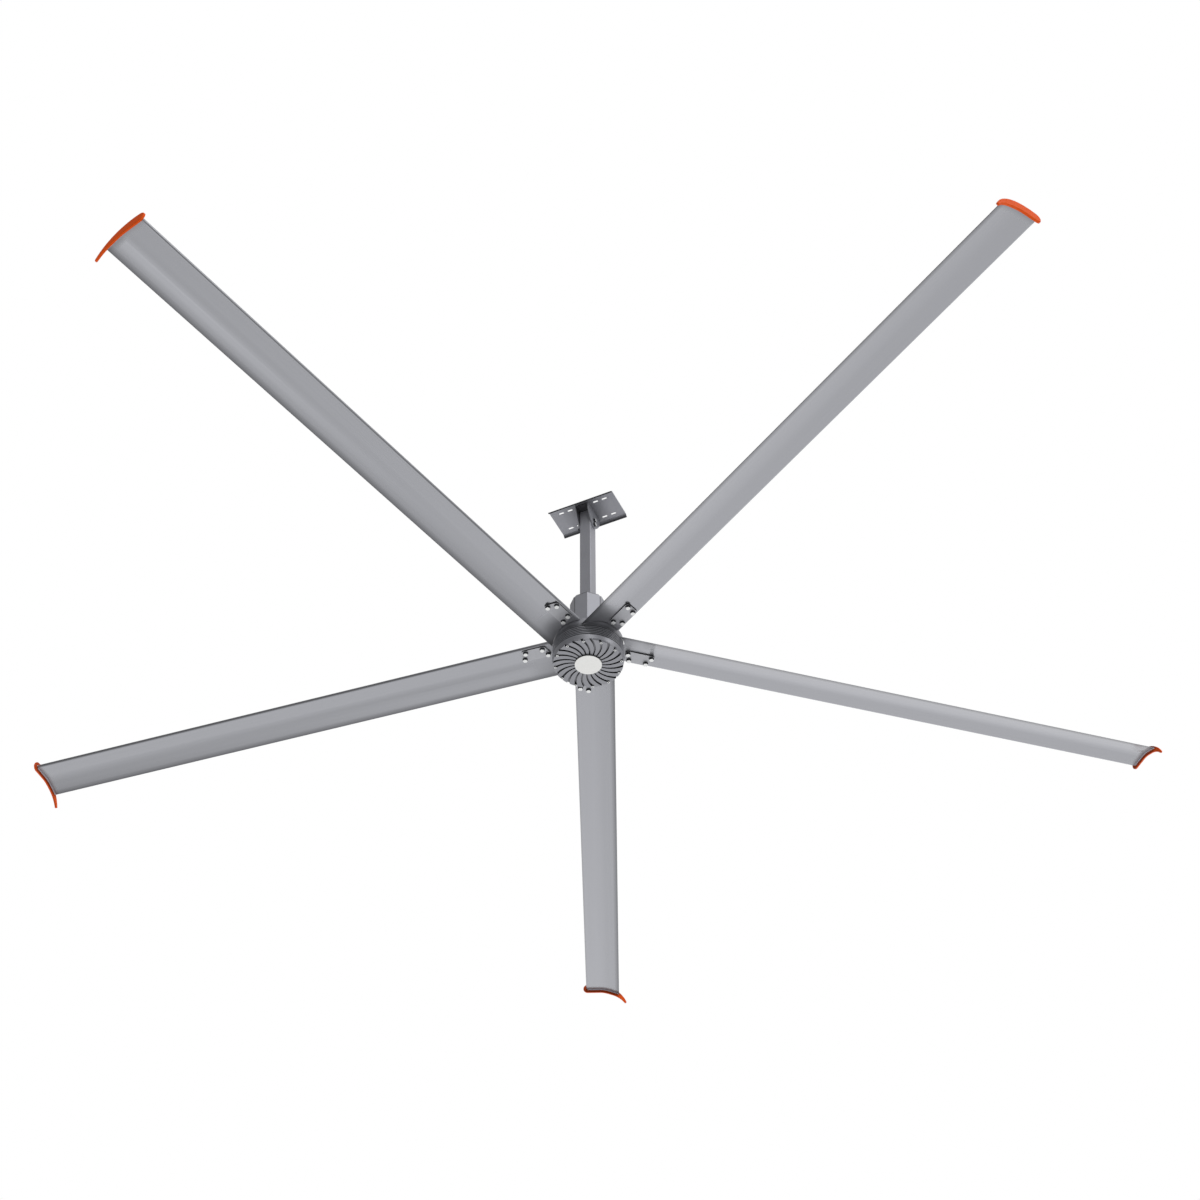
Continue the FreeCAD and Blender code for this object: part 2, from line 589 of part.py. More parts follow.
def stator_carrier():
    """Return the spider that centres the stator on the axle and spaces the two bearings."""
    high = UPPER_BEARING_TOP - BEARING_WIDTH
    low = LOWER_BEARING_TOP
    web_high = CORE_MIDDLE + CARRIER_WEB / 2
    web_low = CORE_MIDDLE - CARRIER_WEB / 2
    rim_high = CORE_MIDDLE + CORE_STACK / 2
    rim_low = CORE_MIDDLE - CORE_STACK / 2
    end = BEARING_BORE_RADIUS + BEARING_RACE_WALL - CARRIER_END_STEP
    rim = CORE_INNER_RADIUS - CARRIER_RIM
    bore = BEARING_BORE_RADIUS
    profile = [(bore, high), (end, high), (CARRIER_BOSS_RADIUS, high - (CARRIER_BOSS_RADIUS - end)),
               (CARRIER_BOSS_RADIUS, web_high), (rim, web_high), (rim, rim_high),
               (CORE_INNER_RADIUS, rim_high), (CORE_INNER_RADIUS, rim_low),
               (rim, rim_low), (rim, web_low), (CARRIER_BOSS_RADIUS, web_low),
               (CARRIER_BOSS_RADIUS, low + (CARRIER_BOSS_RADIUS - end)), (end, low), (bore, low)]
    hole = drum(CARRIER_HOLE_RADIUS, web_low - PAST, web_high + PAST, (CARRIER_BOSS_RADIUS + rim) / 2)
    return lower(lathe(profile).cut(round_the_axis(hole, CARRIER_HOLE_COUNT) + [cable_exit()]))


def stator_core():
    """Return the laminated core with its parallel teeth."""
    low = CORE_MIDDLE - CORE_STACK / 2
    high = CORE_MIDDLE + CORE_STACK / 2
    yoke = ring(CORE_INNER_RADIUS + CORE_YOKE, CORE_INNER_RADIUS, low, high)
    half = TOOTH_WIDTH / 2
    tooth = block(CORE_INNER_RADIUS + CORE_YOKE / 2, CORE_OUTER_RADIUS + PAST, -half, half, low, high)
    tooth = tooth.common(drum(CORE_OUTER_RADIUS, low, high))
    return lower(yoke.fuse(round_the_axis(tooth, TOOTH_COUNT)).removeSplitter())


def stator_coils():
    """Return one wound coil round each tooth."""
    start = CORE_INNER_RADIUS + CORE_YOKE + COIL_SIDE
    end = CORE_OUTER_RADIUS - COIL_TIP_GAP
    reach = CORE_STACK / 2
    half = TOOTH_WIDTH / 2 + SLIDE_GAP
    coil = block(start, end, -half - COIL_SIDE, half + COIL_SIDE, CORE_MIDDLE - reach - COIL_OVERHANG,
                 CORE_MIDDLE + reach + COIL_OVERHANG)
    along_x = [e for e in coil.Edges if abs(e.tangentAt(e.FirstParameter).x) > 0.999]
    coil = coil.makeChamfer(COIL_BEVEL, along_x)
    coil = coil.cut(block(start - PAST, end + PAST, -half, half, CORE_MIDDLE - reach - SLIDE_GAP,
                          CORE_MIDDLE + reach + SLIDE_GAP))
    return [lower(c) for c in round_the_axis(coil, TOOTH_COUNT)]


def shaft_nut():
    """Return the nut under the lower bearing."""
    high = LOWER_BEARING_TOP - BEARING_WIDTH
    low = high - SHAFT_NUT_HEIGHT
    nut = hexagon(SHAFT_NUT_ACROSS_FLATS, low, high)
    return lower(nut.cut(drum(AXLE_THREAD_RADIUS + THREAD_GAP, low - PAST, high + PAST)))


# Turning motor, about the blades' datum


def strut_socket():
    """Return the channel that a strut lies in, open at the hub's rim and top."""
    top = hub_top() + PAST
    start = STRUT_INNER_RADIUS - SLIDE_GAP
    return block(start, HUB_RADIUS + PAST, STRUT_AFT - SLIDE_GAP, STRUT_FORE + SLIDE_GAP, STRUT_FLOOR, top)


def hub():
    """Return the hub: upper bearing seat, five strut channels and tapped holes."""
    top = hub_top()
    seat = BEARING_OUTER_RADIUS
    lip = COVER_HOLE_RADIUS
    seal_low = top - SEAL_HEIGHT - SEAL_DROP
    spigot = SHELL_INNER_RADIUS - SLIDE_GAP
    profile = [(seat, HUB_FOOT - REGISTER), (spigot, HUB_FOOT - REGISTER), (spigot, HUB_FOOT),
               (HUB_RADIUS, HUB_FOOT), (HUB_RADIUS, top - HUB_EDGE), (HUB_RADIUS - HUB_EDGE, top),
               (SEAL_RADIUS, top), (SEAL_RADIUS, seal_low), (lip, seal_low), (lip, UPPER_BEARING_TOP),
               (seat, UPPER_BEARING_TOP)]
    body = lathe(profile)
    cuts = []
    for angle in blade_angles():
        cuts.append(turned_about_z(strut_socket(), angle))
        for x, y in hub_bolt_places():
            hole = drum(BOLT_RADIUS + THREAD_GAP, STRUT_FLOOR - HUB_BOLT_GRIP, STRUT_FLOOR + PAST, x, y)
            cuts.append(turned_about_z(hole, angle))
    cuts += tie_bolt_bodies(TIE_BOLT_RADIUS + THREAD_GAP, HUB_FOOT - PAST, HUB_FOOT + TIE_BOLT_GRIP)
    return lower(body.cut(cuts))


def blade_angles():
    """Return the direction of each blade at rest, in degrees."""
    return [FIRST_BLADE_ANGLE + 360.0 / BLADE_COUNT * k for k in range(BLADE_COUNT)]


def hub_bolt_places():
    """Return where a strut's root bolts stand, along the blade and across it."""
    return [(x, y) for x in HUB_BOLT_RADII for y in (BOLT_AFT_ROW, BOLT_FORE_ROW)]


def tie_bolt_bodies(radius, low, high):
    """Return upright cylinders on the tie bolts' circle."""
    body = drum(radius, low, high, TIE_BOLT_CIRCLE)
    return round_the_axis(body, TIE_BOLT_COUNT, FIRST_BLADE_ANGLE + TIE_BOLT_ANGLE)


def rotor_shell():
    """Return the motor's outer shell with cooling ribs round it and a plain narrowing foot."""
    root = SHELL_RADIUS - RIB_DEPTH
    rib_top = HUB_FOOT - RIB_TOP_BAND
    rib_foot = SHELL_FOOT + SHELL_SKIRT
    pitch = (rib_top - rib_foot) / RIB_COUNT
    profile = [(SHELL_INNER_RADIUS, HUB_FOOT), (SHELL_RADIUS, HUB_FOOT)]
    for number in range(RIB_COUNT):
        high = rib_top - pitch * number
        low = high - pitch + RIB_WIDTH
        profile += [(SHELL_RADIUS, high), (root, high - RIB_DRAFT), (root, low + RIB_DRAFT),
                    (SHELL_RADIUS, low)]
    profile += [(SHELL_RADIUS, rib_foot), (SHELL_FOOT_RADIUS, SHELL_FOOT), (SHELL_INNER_RADIUS, SHELL_FOOT)]
    holes = tie_bolt_bodies(TIE_BOLT_RADIUS + BOLT_HOLE_GAP, SHELL_FOOT - PAST, HUB_FOOT + PAST)
    return lower(lathe(profile).cut(holes))


def back_iron():
    """Return the steel ring that closes the magnets' field."""
    inner = SHELL_INNER_RADIUS - BACK_IRON
    reach = BACK_IRON_LENGTH / 2
    return lower(ring(SHELL_INNER_RADIUS, inner, CORE_MIDDLE - reach, CORE_MIDDLE + reach))


def magnets():
    """Return the arc magnets inside the back iron."""
    low = CORE_MIDDLE - MAGNET_LENGTH / 2
    span = math.radians(MAGNET_SPAN / 2)
    reach = 2 * SHELL_INNER_RADIUS
    wedge = polygon_prism([(0, 0), (reach * math.cos(span), -reach * math.sin(span)),
                           (reach * math.cos(span), reach * math.sin(span))], low, low + MAGNET_LENGTH)
    band = ring(MAGNET_INNER_RADIUS + MAGNET_THICKNESS, MAGNET_INNER_RADIUS, low, low + MAGNET_LENGTH)
    return [lower(m) for m in round_the_axis(band.common(wedge), MAGNET_COUNT)]


def groove_point(radius, sweep):
    """Return a point of the swirl's middle line in plan."""
    angle = math.radians(sweep)
    return Vec(radius * math.cos(angle), radius * math.sin(angle), 0)


def swirl_groove():
    """Return the cutter of one curved groove, widening towards the cover's rim where it runs out."""
    inner = DISC_RADIUS + GROOVE_INNER_WIDTH / 2
    outer = SHELL_RADIUS + GROOVE_OUTER_WIDTH
    start = groove_point(inner, 0)
    middle = groove_point((inner + outer) / 2, GROOVE_MID_SWEEP)
    end = groove_point(outer, GROOVE_END_SWEEP)
    centre = Part.Arc(start, middle, end).toShape().Curve.Center
    middle_width = (GROOVE_INNER_WIDTH + GROOVE_OUTER_WIDTH) / 2

    def side_points(side):
        widths = ((start, GROOVE_INNER_WIDTH), (middle, middle_width), (end, GROOVE_OUTER_WIDTH))
        return [p + (p - centre).normalize() * (side * width / 2) for p, width in widths]

    left = side_points(1)
    right = side_points(-1)
    tip = start + (start - middle).normalize() * (GROOVE_INNER_WIDTH / 2)
    edges = [Part.Arc(*left).toShape(), Part.makeLine(left[-1], right[-1]),
             Part.Arc(*reversed(right)).toShape(), Part.Arc(right[0], tip, left[0]).toShape()]
    cutter = Part.Face(Part.Wire(edges)).extrude(Vec(0, 0, GROOVE_DEPTH + PAST))
    return cutter.translated(Vec(0, 0, COVER_FACE - PAST))


def bottom_cover():
    """Return the cover with swirl grooves, the disc's and the lower bearing's bosses and bolt seats."""
    seat = BEARING_OUTER_RADIUS
    boss = seat + COVER_BOSS_WALL
    boss_top = LOWER_BEARING_TOP + COVER_BOSS_RISE
    shoulder = LOWER_BEARING_TOP - BEARING_WIDTH
    spigot = SHELL_INNER_RADIUS - SLIDE_GAP
    inside = SHELL_FOOT + REGISTER
    disc_boss = DISC_RADIUS - DISC_OVERHANG
    rim = SHELL_FOOT_RADIUS
    profile = [(COVER_HOLE_RADIUS, DISC_BACK), (disc_boss, DISC_BACK), (disc_boss, COVER_FACE),
               (rim - COVER_EDGE, COVER_FACE), (rim, COVER_FACE + COVER_EDGE), (rim, SHELL_FOOT),
               (spigot, SHELL_FOOT), (spigot, inside), (boss, inside), (boss, boss_top), (seat, boss_top),
               (seat, shoulder), (COVER_HOLE_RADIUS, shoulder)]
    grooves = round_the_axis(swirl_groove(), GROOVE_COUNT, FIRST_BLADE_ANGLE + GROOVE_START_ANGLE)
    seats = tie_bolt_bodies(TIE_BOLT_SEAT_RADIUS, COVER_FACE, SHELL_FOOT)
    holes = tie_bolt_bodies(TIE_BOLT_RADIUS + BOLT_HOLE_GAP, COVER_FACE - PAST, inside + PAST)
    return lower(lathe(profile).cut(grooves).fuse(seats).removeSplitter().cut(holes))


def tie_bolts():
    """Return the long bolts that clamp cover, shell and hub together."""
    shanks = tie_bolt_bodies(TIE_BOLT_RADIUS, COVER_FACE, HUB_FOOT + TIE_BOLT_GRIP)
    heads = tie_bolt_bodies(TIE_BOLT_HEAD_RADIUS, COVER_FACE - TIE_BOLT_HEAD_HEIGHT, COVER_FACE)
    return [lower(s.fuse(h).removeSplitter()) for s, h in zip(shanks, heads)]


def centre_disc():
    """Return the plain white disc that closes the cover's middle."""
    face = DISC_BACK - DISC_THICKNESS
    outer = COVER_HOLE_RADIUS - SLIDE_GAP
    inner = outer - DISC_SPIGOT_WALL
    top = DISC_BACK + DISC_SPIGOT_DEPTH
    profile = [(0, face), (DISC_RADIUS, face), (DISC_RADIUS, DISC_BACK), (outer, DISC_BACK), (outer, top),
               (inner, top), (inner, DISC_BACK), (0, DISC_BACK)]
    return lower(lathe(profile))


def shaft_seal():
    """Return the rubber seal between the hub and the axle's neck."""
    low = hub_top() - SEAL_HEIGHT - SEAL_DROP
    return lower(ring(SEAL_RADIUS, AXLE_NECK_RADIUS + SEAL_LIP_GAP, low, low + SEAL_HEIGHT))


# Blade section, in the plane across the blade: (along the chord, up)


def heading(degrees):
    """Return the unit vector at an angle from straight up, positive towards the leading edge."""
    a = math.radians(degrees)
    return Vec(0, math.sin(a), math.cos(a))


def polar(centre, radius, degrees):
    """Return a point on a circle of the section."""
    return centre + heading(degrees) * radius


def section_point(chord, height):
    """Return a point of the section."""
    return Vec(0, chord, height)


def section_arc(centre, radius, start, end):
    """Return an arc of the section between two angles from straight up."""
    points = [polar(centre, radius, angle) for angle in (start, (start + end) / 2, end)]
    return Part.Arc(*points).toShape()


NOSE_CENTRE = section_point(NOSE_PLACE, UNDERSIDE_HEIGHT + NOSE_RADIUS)
BEND_CENTRE = section_point(UNDERSIDE_BEND, UNDERSIDE_HEIGHT - UNDERSIDE_BEND_RADIUS)
REAR_CENTRE = polar(BEND_CENTRE, UNDERSIDE_BEND_RADIUS - UNDERSIDE_REAR_RADIUS, -UNDERSIDE_BEND_ANGLE)


def slide_to(point, slope, chord):
    """Go from a point down a slope towards the trailing edge until a given place on the chord."""
    return section_point(chord, point.z - (point.y - chord) * math.tan(math.radians(slope)))


def rear_slope(grow, chord):
    """Return the slope of the underside, grown outwards, at a place behind its bend."""
    return math.degrees(math.asin((REAR_CENTRE.y - chord) / (UNDERSIDE_REAR_RADIUS - grow)))


def top_arc():
    """Return centre and radius of the arc that joins the nose to the rear of the top surface."""
    tail = polar(REAR_CENTRE, UNDERSIDE_REAR_RADIUS, -rear_slope(0, TRAILING_EDGE))
    tail = tail + Vec(0, 0, TRAILING_THICKNESS)
    start = heading(TOP_RISE)
    end = heading(-TOP_DROOP)
    nose = NOSE_CENTRE + start * NOSE_RADIUS
    radius = end.dot(tail - nose) / (1 - end.dot(start))
    return nose - start * radius, radius


TOP_CENTRE, TOP_RADIUS = top_arc()


def top_slope(grow, chord):
    """Return the slope of the top surface, grown outwards, at a place on the chord."""
    across = min(1, (TOP_CENTRE.y - chord) / (TOP_RADIUS + grow))
    return min(TOP_DROOP, math.degrees(math.asin(across)))


def upper_edges(grow, chord_end):
    """Return the edges from the rear of the top surface round the nose to the underside."""
    slope = top_slope(grow, chord_end)
    edges = [section_arc(TOP_CENTRE, TOP_RADIUS + grow, -slope, TOP_RISE),
             section_arc(NOSE_CENTRE, NOSE_RADIUS + grow, TOP_RISE, 180)]
    rear = first_point(edges)
    if rear.y > chord_end + TOUCH:
        edges.insert(0, Part.makeLine(slide_to(rear, slope, chord_end), rear))
    return edges


def under_edges(grow, chord_end, fall=0.0):
    """Return the edges of the underside from the nose to the rear, moved down by fall."""
    nose_foot = polar(NOSE_CENTRE, NOSE_RADIUS + grow, 180)
    bend = section_arc(BEND_CENTRE, UNDERSIDE_BEND_RADIUS - grow, 0, -UNDERSIDE_BEND_ANGLE)
    rear = section_arc(REAR_CENTRE, UNDERSIDE_REAR_RADIUS - grow, -UNDERSIDE_BEND_ANGLE,
                       -rear_slope(grow, chord_end))
    edges = [Part.makeLine(nose_foot, first_point([bend])), bend, rear]
    return [edge.translated(Vec(0, 0, -fall)) for edge in edges]


def first_point(edges):
    """Return where a run of edges starts."""
    return edges[0].Vertexes[0].Point


def last_point(edges):
    """Return where a run of edges ends."""
    return edges[-1].Vertexes[-1].Point


def closed_section(runs):
    """Join runs of edges into one face, with straight lines across what is left open."""
    edges = []
    for run, following in zip(runs, runs[1:] + runs[:1]):
        edges += run
        gap = (first_point(following) - last_point(run)).Length
        if gap > TOUCH:
            edges.append(Part.makeLine(last_point(run), first_point(following)))
    return Part.Face(Part.Wire(edges))


def along_blade(face, start, end):
    """Run a section along the blade between two radii."""
    return face.translated(Vec(start, 0, 0)).extrude(Vec(end - start, 0, 0))


def arc_height(centre, radius, chord):
    """Return the height of an arc's upper side at a place on the chord."""
    return centre.z + math.sqrt(radius ** 2 - (chord - centre.y) ** 2)


def ceiling_height(chord):
    """Return the height of the cells' ceiling behind the nose."""
    rear = polar(TOP_CENTRE, TOP_RADIUS - BLADE_WALL, -TOP_DROOP)
    if chord < rear.y:
        return slide_to(rear, TOP_DROOP, chord).z
    return arc_height(TOP_CENTRE, TOP_RADIUS - BLADE_WALL, chord)


def floor_height(chord):
    """Return the height of the cells' floor."""
    bend_radius = UNDERSIDE_BEND_RADIUS + BLADE_WALL
    if chord > UNDERSIDE_BEND:
        return STRUT_FLOOR
    if chord > polar(BEND_CENTRE, bend_radius, -UNDERSIDE_BEND_ANGLE).y:
        return arc_height(BEND_CENTRE, bend_radius, chord)
    return arc_height(REAR_CENTRE, UNDERSIDE_REAR_RADIUS + BLADE_WALL, chord)


def cell_end():
    """Return where the rear cell has become too low, in whole steps from the bend of the underside."""
    chord = UNDERSIDE_BEND
    while ceiling_height(chord - 1) - floor_height(chord - 1) > CELL_END_HEIGHT:
        chord -= 1
    return chord


def cell_section(inset):
    """Return the section inside the blade's wall, less an inset, before the web crosses it."""
    grow = -BLADE_WALL - inset
    end = cell_end() + inset
    return closed_section([upper_edges(grow, end), under_edges(grow, end)])


def web(start, end, extra):
    """Return the upright web between the cells, thickened by extra on each side."""
    half = BLADE_WEB / 2 + extra
    return block(start, end, WEB_PLACE - half, WEB_PLACE + half, -HUB_RADIUS, HUB_RADIUS)


def strut_top():
    """Return the top of a strut: it fills the lower of the front cell's two sides."""
    return min(ceiling_height(STRUT_AFT), ceiling_height(STRUT_FORE)) - STRUT_TOP_GAP


def blade_bolt_places():
    """Return where the four clamp bolts of a blade stand, along the blade and across it."""
    rows = ((BOLT_AFT_ROW, BLADE_BOLT_AFT_SPACING), (BOLT_FORE_ROW, BLADE_BOLT_FORE_SPACING))
    return [(BLADE_BOLT_MIDDLE + side * spacing / 2, y) for y, spacing in rows for side in (-1, 1)]


def blade_bolt_drillings(radius, low, high):
    """Return upright cylinders at the clamp bolts."""
    return [drum(radius, low, high, x, y) for x, y in blade_bolt_places()]


def blade():
    """Return one hollow blade along +X: two cells, a root cut round the hub, four bolt holes."""
    outer = closed_section([upper_edges(0, TRAILING_EDGE), under_edges(0, TRAILING_EDGE)])
    body = along_blade(outer, 0, BLADE_TIP_RADIUS)
    ends = (-PAST, BLADE_TIP_RADIUS + PAST)
    cells = along_blade(cell_section(0), *ends).cut(web(*ends, 0))
    root = drum(HUB_RADIUS + ROOT_GAP, -HUB_RADIUS, HUB_RADIUS)
    holes = blade_bolt_drillings(BOLT_RADIUS + BOLT_HOLE_GAP, UNDERSIDE_HEIGHT - PAST, STRUT_FLOOR + PAST)
    return body.cut([cells, root] + holes)


def strut():
    """Return one strut along +X: a flat bar that lies in the hub and fills the blade's front cell."""
    top = strut_top()
    bar = block(STRUT_INNER_RADIUS, STRUT_OUTER_RADIUS, STRUT_AFT, STRUT_FORE, STRUT_FLOOR, top)
    outer = [e for e in upright_edges(bar) if e.Vertexes[0].X > BLADE_BOLT_MIDDLE]
    bar = bar.makeFillet(STRUT_CORNER_RADIUS, outer)
    low = STRUT_FLOOR - PAST
    high = top + PAST
    holes = [drum(BOLT_RADIUS + BOLT_HOLE_GAP, low, high, x, y) for x, y in hub_bolt_places()]
    return bar.cut(holes + blade_bolt_drillings(BOLT_RADIUS + THREAD_GAP, low, high))


def clamp_plate():
    """Return the tapered plate under a blade's root, along +X."""
    sides = ((UNDERSIDE_BEND, CLAMP_AFT_LENGTH / 2), (CLAMP_FORE_EDGE, CLAMP_FORE_LENGTH / 2))
    right = [(BLADE_BOLT_MIDDLE + half, y) for y, half in sides]
    left = [(BLADE_BOLT_MIDDLE - half, y) for y, half in reversed(sides)]
    low = UNDERSIDE_HEIGHT - CLAMP_THICKNESS
    plate = polygon_prism(right + left, low, UNDERSIDE_HEIGHT)
    plate = plate.makeFillet(CLAMP_CORNER_RADIUS, upright_edges(plate))
    return plate.cut(blade_bolt_drillings(BOLT_RADIUS + BOLT_HOLE_GAP, low - PAST, UNDERSIDE_HEIGHT + PAST))


def blade_bolts():
    """Return one blade's clamp bolts, heads down, screwed up into the strut."""
    bolt = flange_bolt(CLAMP_THICKNESS + strut_top() - UNDERSIDE_HEIGHT)
    bolt.rotate(ORIGIN, Vec(1, 0, 0), 180)
    return [bolt.translated(Vec(x, y, UNDERSIDE_HEIGHT - CLAMP_THICKNESS)) for x, y in blade_bolt_places()]


def strut_bolts():
    """Return one strut's root bolts, screwed down into the hub."""
    thickness = strut_top() - STRUT_FLOOR
    bolt = flange_bolt(thickness + HUB_BOLT_GRIP)
    return [bolt.translated(Vec(x, y, strut_top())) for x, y in hub_bolt_places()]


def tip_plug():
    """Return the plug in a blade's outer end, with the flange that shows below the blade."""
    under = under_edges(0, TRAILING_EDGE, PLUG_SKIRT)
    flange = closed_section([upper_edges(0, TRAILING_EDGE), under])
    body = along_blade(flange, BLADE_TIP_RADIUS, BLADE_TIP_RADIUS + PLUG_FLANGE)
    start = BLADE_TIP_RADIUS - PLUG_DEPTH
    spigots = along_blade(cell_section(SLIDE_GAP), start, BLADE_TIP_RADIUS)
    spigots = spigots.cut(web(start - PAST, BLADE_TIP_RADIUS, SLIDE_GAP))
    return body.fuse(spigots).cut(cap_pegs(PEG_RADIUS + SLIDE_GAP, PEG_LENGTH + PAST))


def cap_pegs(radius, length):
    """Return the pegs on the back of a cap."""
    end = BLADE_TIP_RADIUS + PLUG_FLANGE
    places = [(chord, (floor_height(chord) + ceiling_height(chord)) / 2) for chord in PEG_CHORDS]
    return [Part.makeCylinder(radius, length, Vec(end - length, y, z), Vec(1, 0, 0)) for y, z in places]


def cap_section():
    """Return the cap's outline, the blade's section grown all round with a drooping tail, and its tip."""
    upper = upper_edges(CAP_MARGIN, TAIL_UPPER_START)
    under = under_edges(CAP_MARGIN, TAIL_LOWER_START)
    slope = rear_slope(CAP_MARGIN, TAIL_LOWER_START)
    low_centre = last_point(under) - heading(-slope) * TAIL_LOWER_RADIUS
    low = section_arc(low_centre, TAIL_LOWER_RADIUS, -slope, -TAIL_SLOPE)
    low_end = last_point([low])
    high_end = low_end + heading(-TAIL_SLOPE) * TAIL_WIDTH
    high = arc_from(first_point(upper), top_slope(CAP_MARGIN, TAIL_UPPER_START), high_end)
    edges = upper + under + [low, Part.makeLine(low_end, high_end), high]
    return Part.Face(Part.Wire(edges)), (low_end, high_end)


def arc_from(start, slope, end):
    """Return the arc that leaves a point down a slope and reaches another, drawn from its far end."""
    inward = -heading(-slope)
    reach = end - start
    radius = reach.Length ** 2 / (2 * inward.dot(reach))
    centre = start + inward * radius
    last = math.degrees(math.atan2(end.y - centre.y, end.z - centre.z))
    return section_arc(centre, radius, last, -slope)


def runs_through(edge, corner):
    """Tell whether an edge runs along the blade through a corner of the section."""
    return all(abs(v.Y - corner.y) + abs(v.Z - corner.z) < TOUCH for v in edge.Vertexes)


def tip_cap():
    """Return the cap on a blade's end, bevelled on its outer side."""
    start = BLADE_TIP_RADIUS + PLUG_FLANGE
    end = start + CAP_THICKNESS
    section, tail_corners = cap_section()
    body = along_blade(section, start, end)
    tail = [e for e in body.Edges if any(runs_through(e, corner) for corner in tail_corners)]
    body = body.makeFillet(TAIL_TIP_RADIUS, tail)
    rim = [e for e in body.Edges if all(abs(v.X - end) < TOUCH for v in e.Vertexes)]
    body = body.makeChamfer(CAP_EDGE, rim)
    return body.fuse(cap_pegs(PEG_RADIUS, PEG_LENGTH)).removeSplitter()


def each_blade(shape):
    """Return one copy of a blade's piece for each blade, in place."""
    return [lower(turned_about_z(shape, angle)) for angle in blade_angles()]


def blade_group(shapes):
    """Return every blade's copy of a set of fasteners."""
    return [piece for shape in shapes for piece in each_blade(shape)]


def pieces():
    """Return every piece of the fan by its node's name."""
    nodes = {
        "ceiling_plate": ceiling_plate(),
        "saddle": saddle(),
        "down_tube": down_tube(),
        "column_bolts": Part.makeCompound(column_bolts()),
        "column_nuts": Part.makeCompound(column_nuts()),
        "motor_socket": motor_socket(),
        "shroud_screws": Part.makeCompound(shroud_screws()),
        "cable_grommet": cable_grommet(),
        "axle": axle(),
        "flange_bolts": Part.makeCompound(flange_bolts()),
        "upper_inner_ring": bearing_inner_ring(UPPER_BEARING_TOP),
        "lower_inner_ring": bearing_inner_ring(LOWER_BEARING_TOP),
        "stator_carrier": stator_carrier(),
        "stator_core": stator_core(),
        "stator_coils": Part.makeCompound(stator_coils()),
        "shaft_nut": shaft_nut(),
        "hub": hub(),
        "upper_outer_ring": bearing_outer_ring(UPPER_BEARING_TOP),
        "lower_outer_ring": bearing_outer_ring(LOWER_BEARING_TOP),
        "shaft_seal": shaft_seal(),
        "rotor_shell": rotor_shell(),
        "back_iron": back_iron(),
        "magnets": Part.makeCompound(magnets()),
        "bottom_cover": bottom_cover(),
        "tie_bolts": Part.makeCompound(tie_bolts()),
        "centre_disc": centre_disc(),
        "blade_bolts": Part.makeCompound(blade_group(blade_bolts())),
        "strut_bolts": Part.makeCompound(blade_group(strut_bolts())),
    }
    for quarter in range(4):
        nodes["shroud_panel_%d" % (quarter + 1)] = shroud_panel(quarter)
    repeated = {"strut": strut(), "blade": blade(), "clamp_plate": clamp_plate(), "tip_plug": tip_plug(),
                "tip_cap": tip_cap()}
    for name, shape in repeated.items():
        for number, copy in enumerate(each_blade(shape), start=1):
            nodes["%s_%d" % (name, number)] = copy
    return nodes


os.makedirs("parts", exist_ok=True)
for node, shape in pieces().items():
    shape.exportStep(os.path.join("parts", node + ".step"))
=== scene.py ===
"""Finishes, detailed fasteners and a plain studio for a large slow ceiling fan."""
import math

import bmesh
import bpy
from mathutils import Matrix, Vector


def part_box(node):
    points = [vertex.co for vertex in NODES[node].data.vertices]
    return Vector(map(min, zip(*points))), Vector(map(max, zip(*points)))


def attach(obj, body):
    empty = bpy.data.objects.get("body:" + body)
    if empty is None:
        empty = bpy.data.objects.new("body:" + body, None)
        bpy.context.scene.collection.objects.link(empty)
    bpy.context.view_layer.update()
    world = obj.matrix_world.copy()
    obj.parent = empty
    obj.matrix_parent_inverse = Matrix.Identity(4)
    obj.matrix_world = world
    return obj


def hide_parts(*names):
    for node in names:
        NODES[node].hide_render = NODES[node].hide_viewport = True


bl_info = {
    "name": "Ceiling fan dressing",
    "version": (1, 0, 0),
    "blender": (4, 5, 0),
    "location": "View3D > Sidebar > Fan",
    "description": "Gives the packed ceiling fan its finishes, detailed fasteners and a plain studio",
    "category": "Object",
}

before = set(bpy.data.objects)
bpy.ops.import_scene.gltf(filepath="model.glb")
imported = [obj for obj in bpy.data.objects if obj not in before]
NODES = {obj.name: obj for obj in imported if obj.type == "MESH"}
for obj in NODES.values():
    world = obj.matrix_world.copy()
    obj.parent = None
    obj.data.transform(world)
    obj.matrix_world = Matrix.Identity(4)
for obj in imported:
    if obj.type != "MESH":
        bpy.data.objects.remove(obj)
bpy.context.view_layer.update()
MM = 0.001
BLADES = range(1, 6)
BLADE_STEP = 72                         # degrees from one blade to the next
SHADE_AND_SEAM_TONE = (0.004, 0.004, 0.005, 1.0)       # colour of painted shade in recesses, folds and along edges, and of the shroud's dark seam lines

# Where the materials' marks of painted shade, and the shroud's seam lines, lie. A pair says where a mark
# starts and where it ends or is full.
PLATE_FOLD = 18 * MM                    # width of the ceiling plate's folded edges, seen from below
FOLD_EASE = 9 * MM                      # part of that width over which the shade comes in
SADDLE_SHADE = (35 * MM, 130 * MM)      # shade beside the saddle, from the plate's middle
SADDLE_SHEET = 6 * MM                   # thickness of the saddle's sheet
SEAM_LAG = math.radians(22.5)           # from the shroud's first seam to the X axis
SEAM_STEP = math.radians(90)            # from one seam to the next
SEAM_LINE = (math.radians(0.8), math.radians(2.2))      # dark line, from a seam
SHROUD_EDGE = (5 * MM, 3 * MM)          # dark edge, below the shroud's top
COVER_RIM = 3 * MM                      # width of the cover's rim, where the grooves run out
GROOVE_FLOOR = (5 * MM, 9 * MM)         # painted shade on the floor of the cover's grooves, above its face
HUB_SHADE = 22 * MM                     # height of the shade on the hub's side
SHELL_SKIRT = 18 * MM                   # plain part of the shell, below its ribs
RIB_ROOT = (4 * MM, 1 * MM)             # painted shade in the grooves between the ribs, in from the ribs' tips
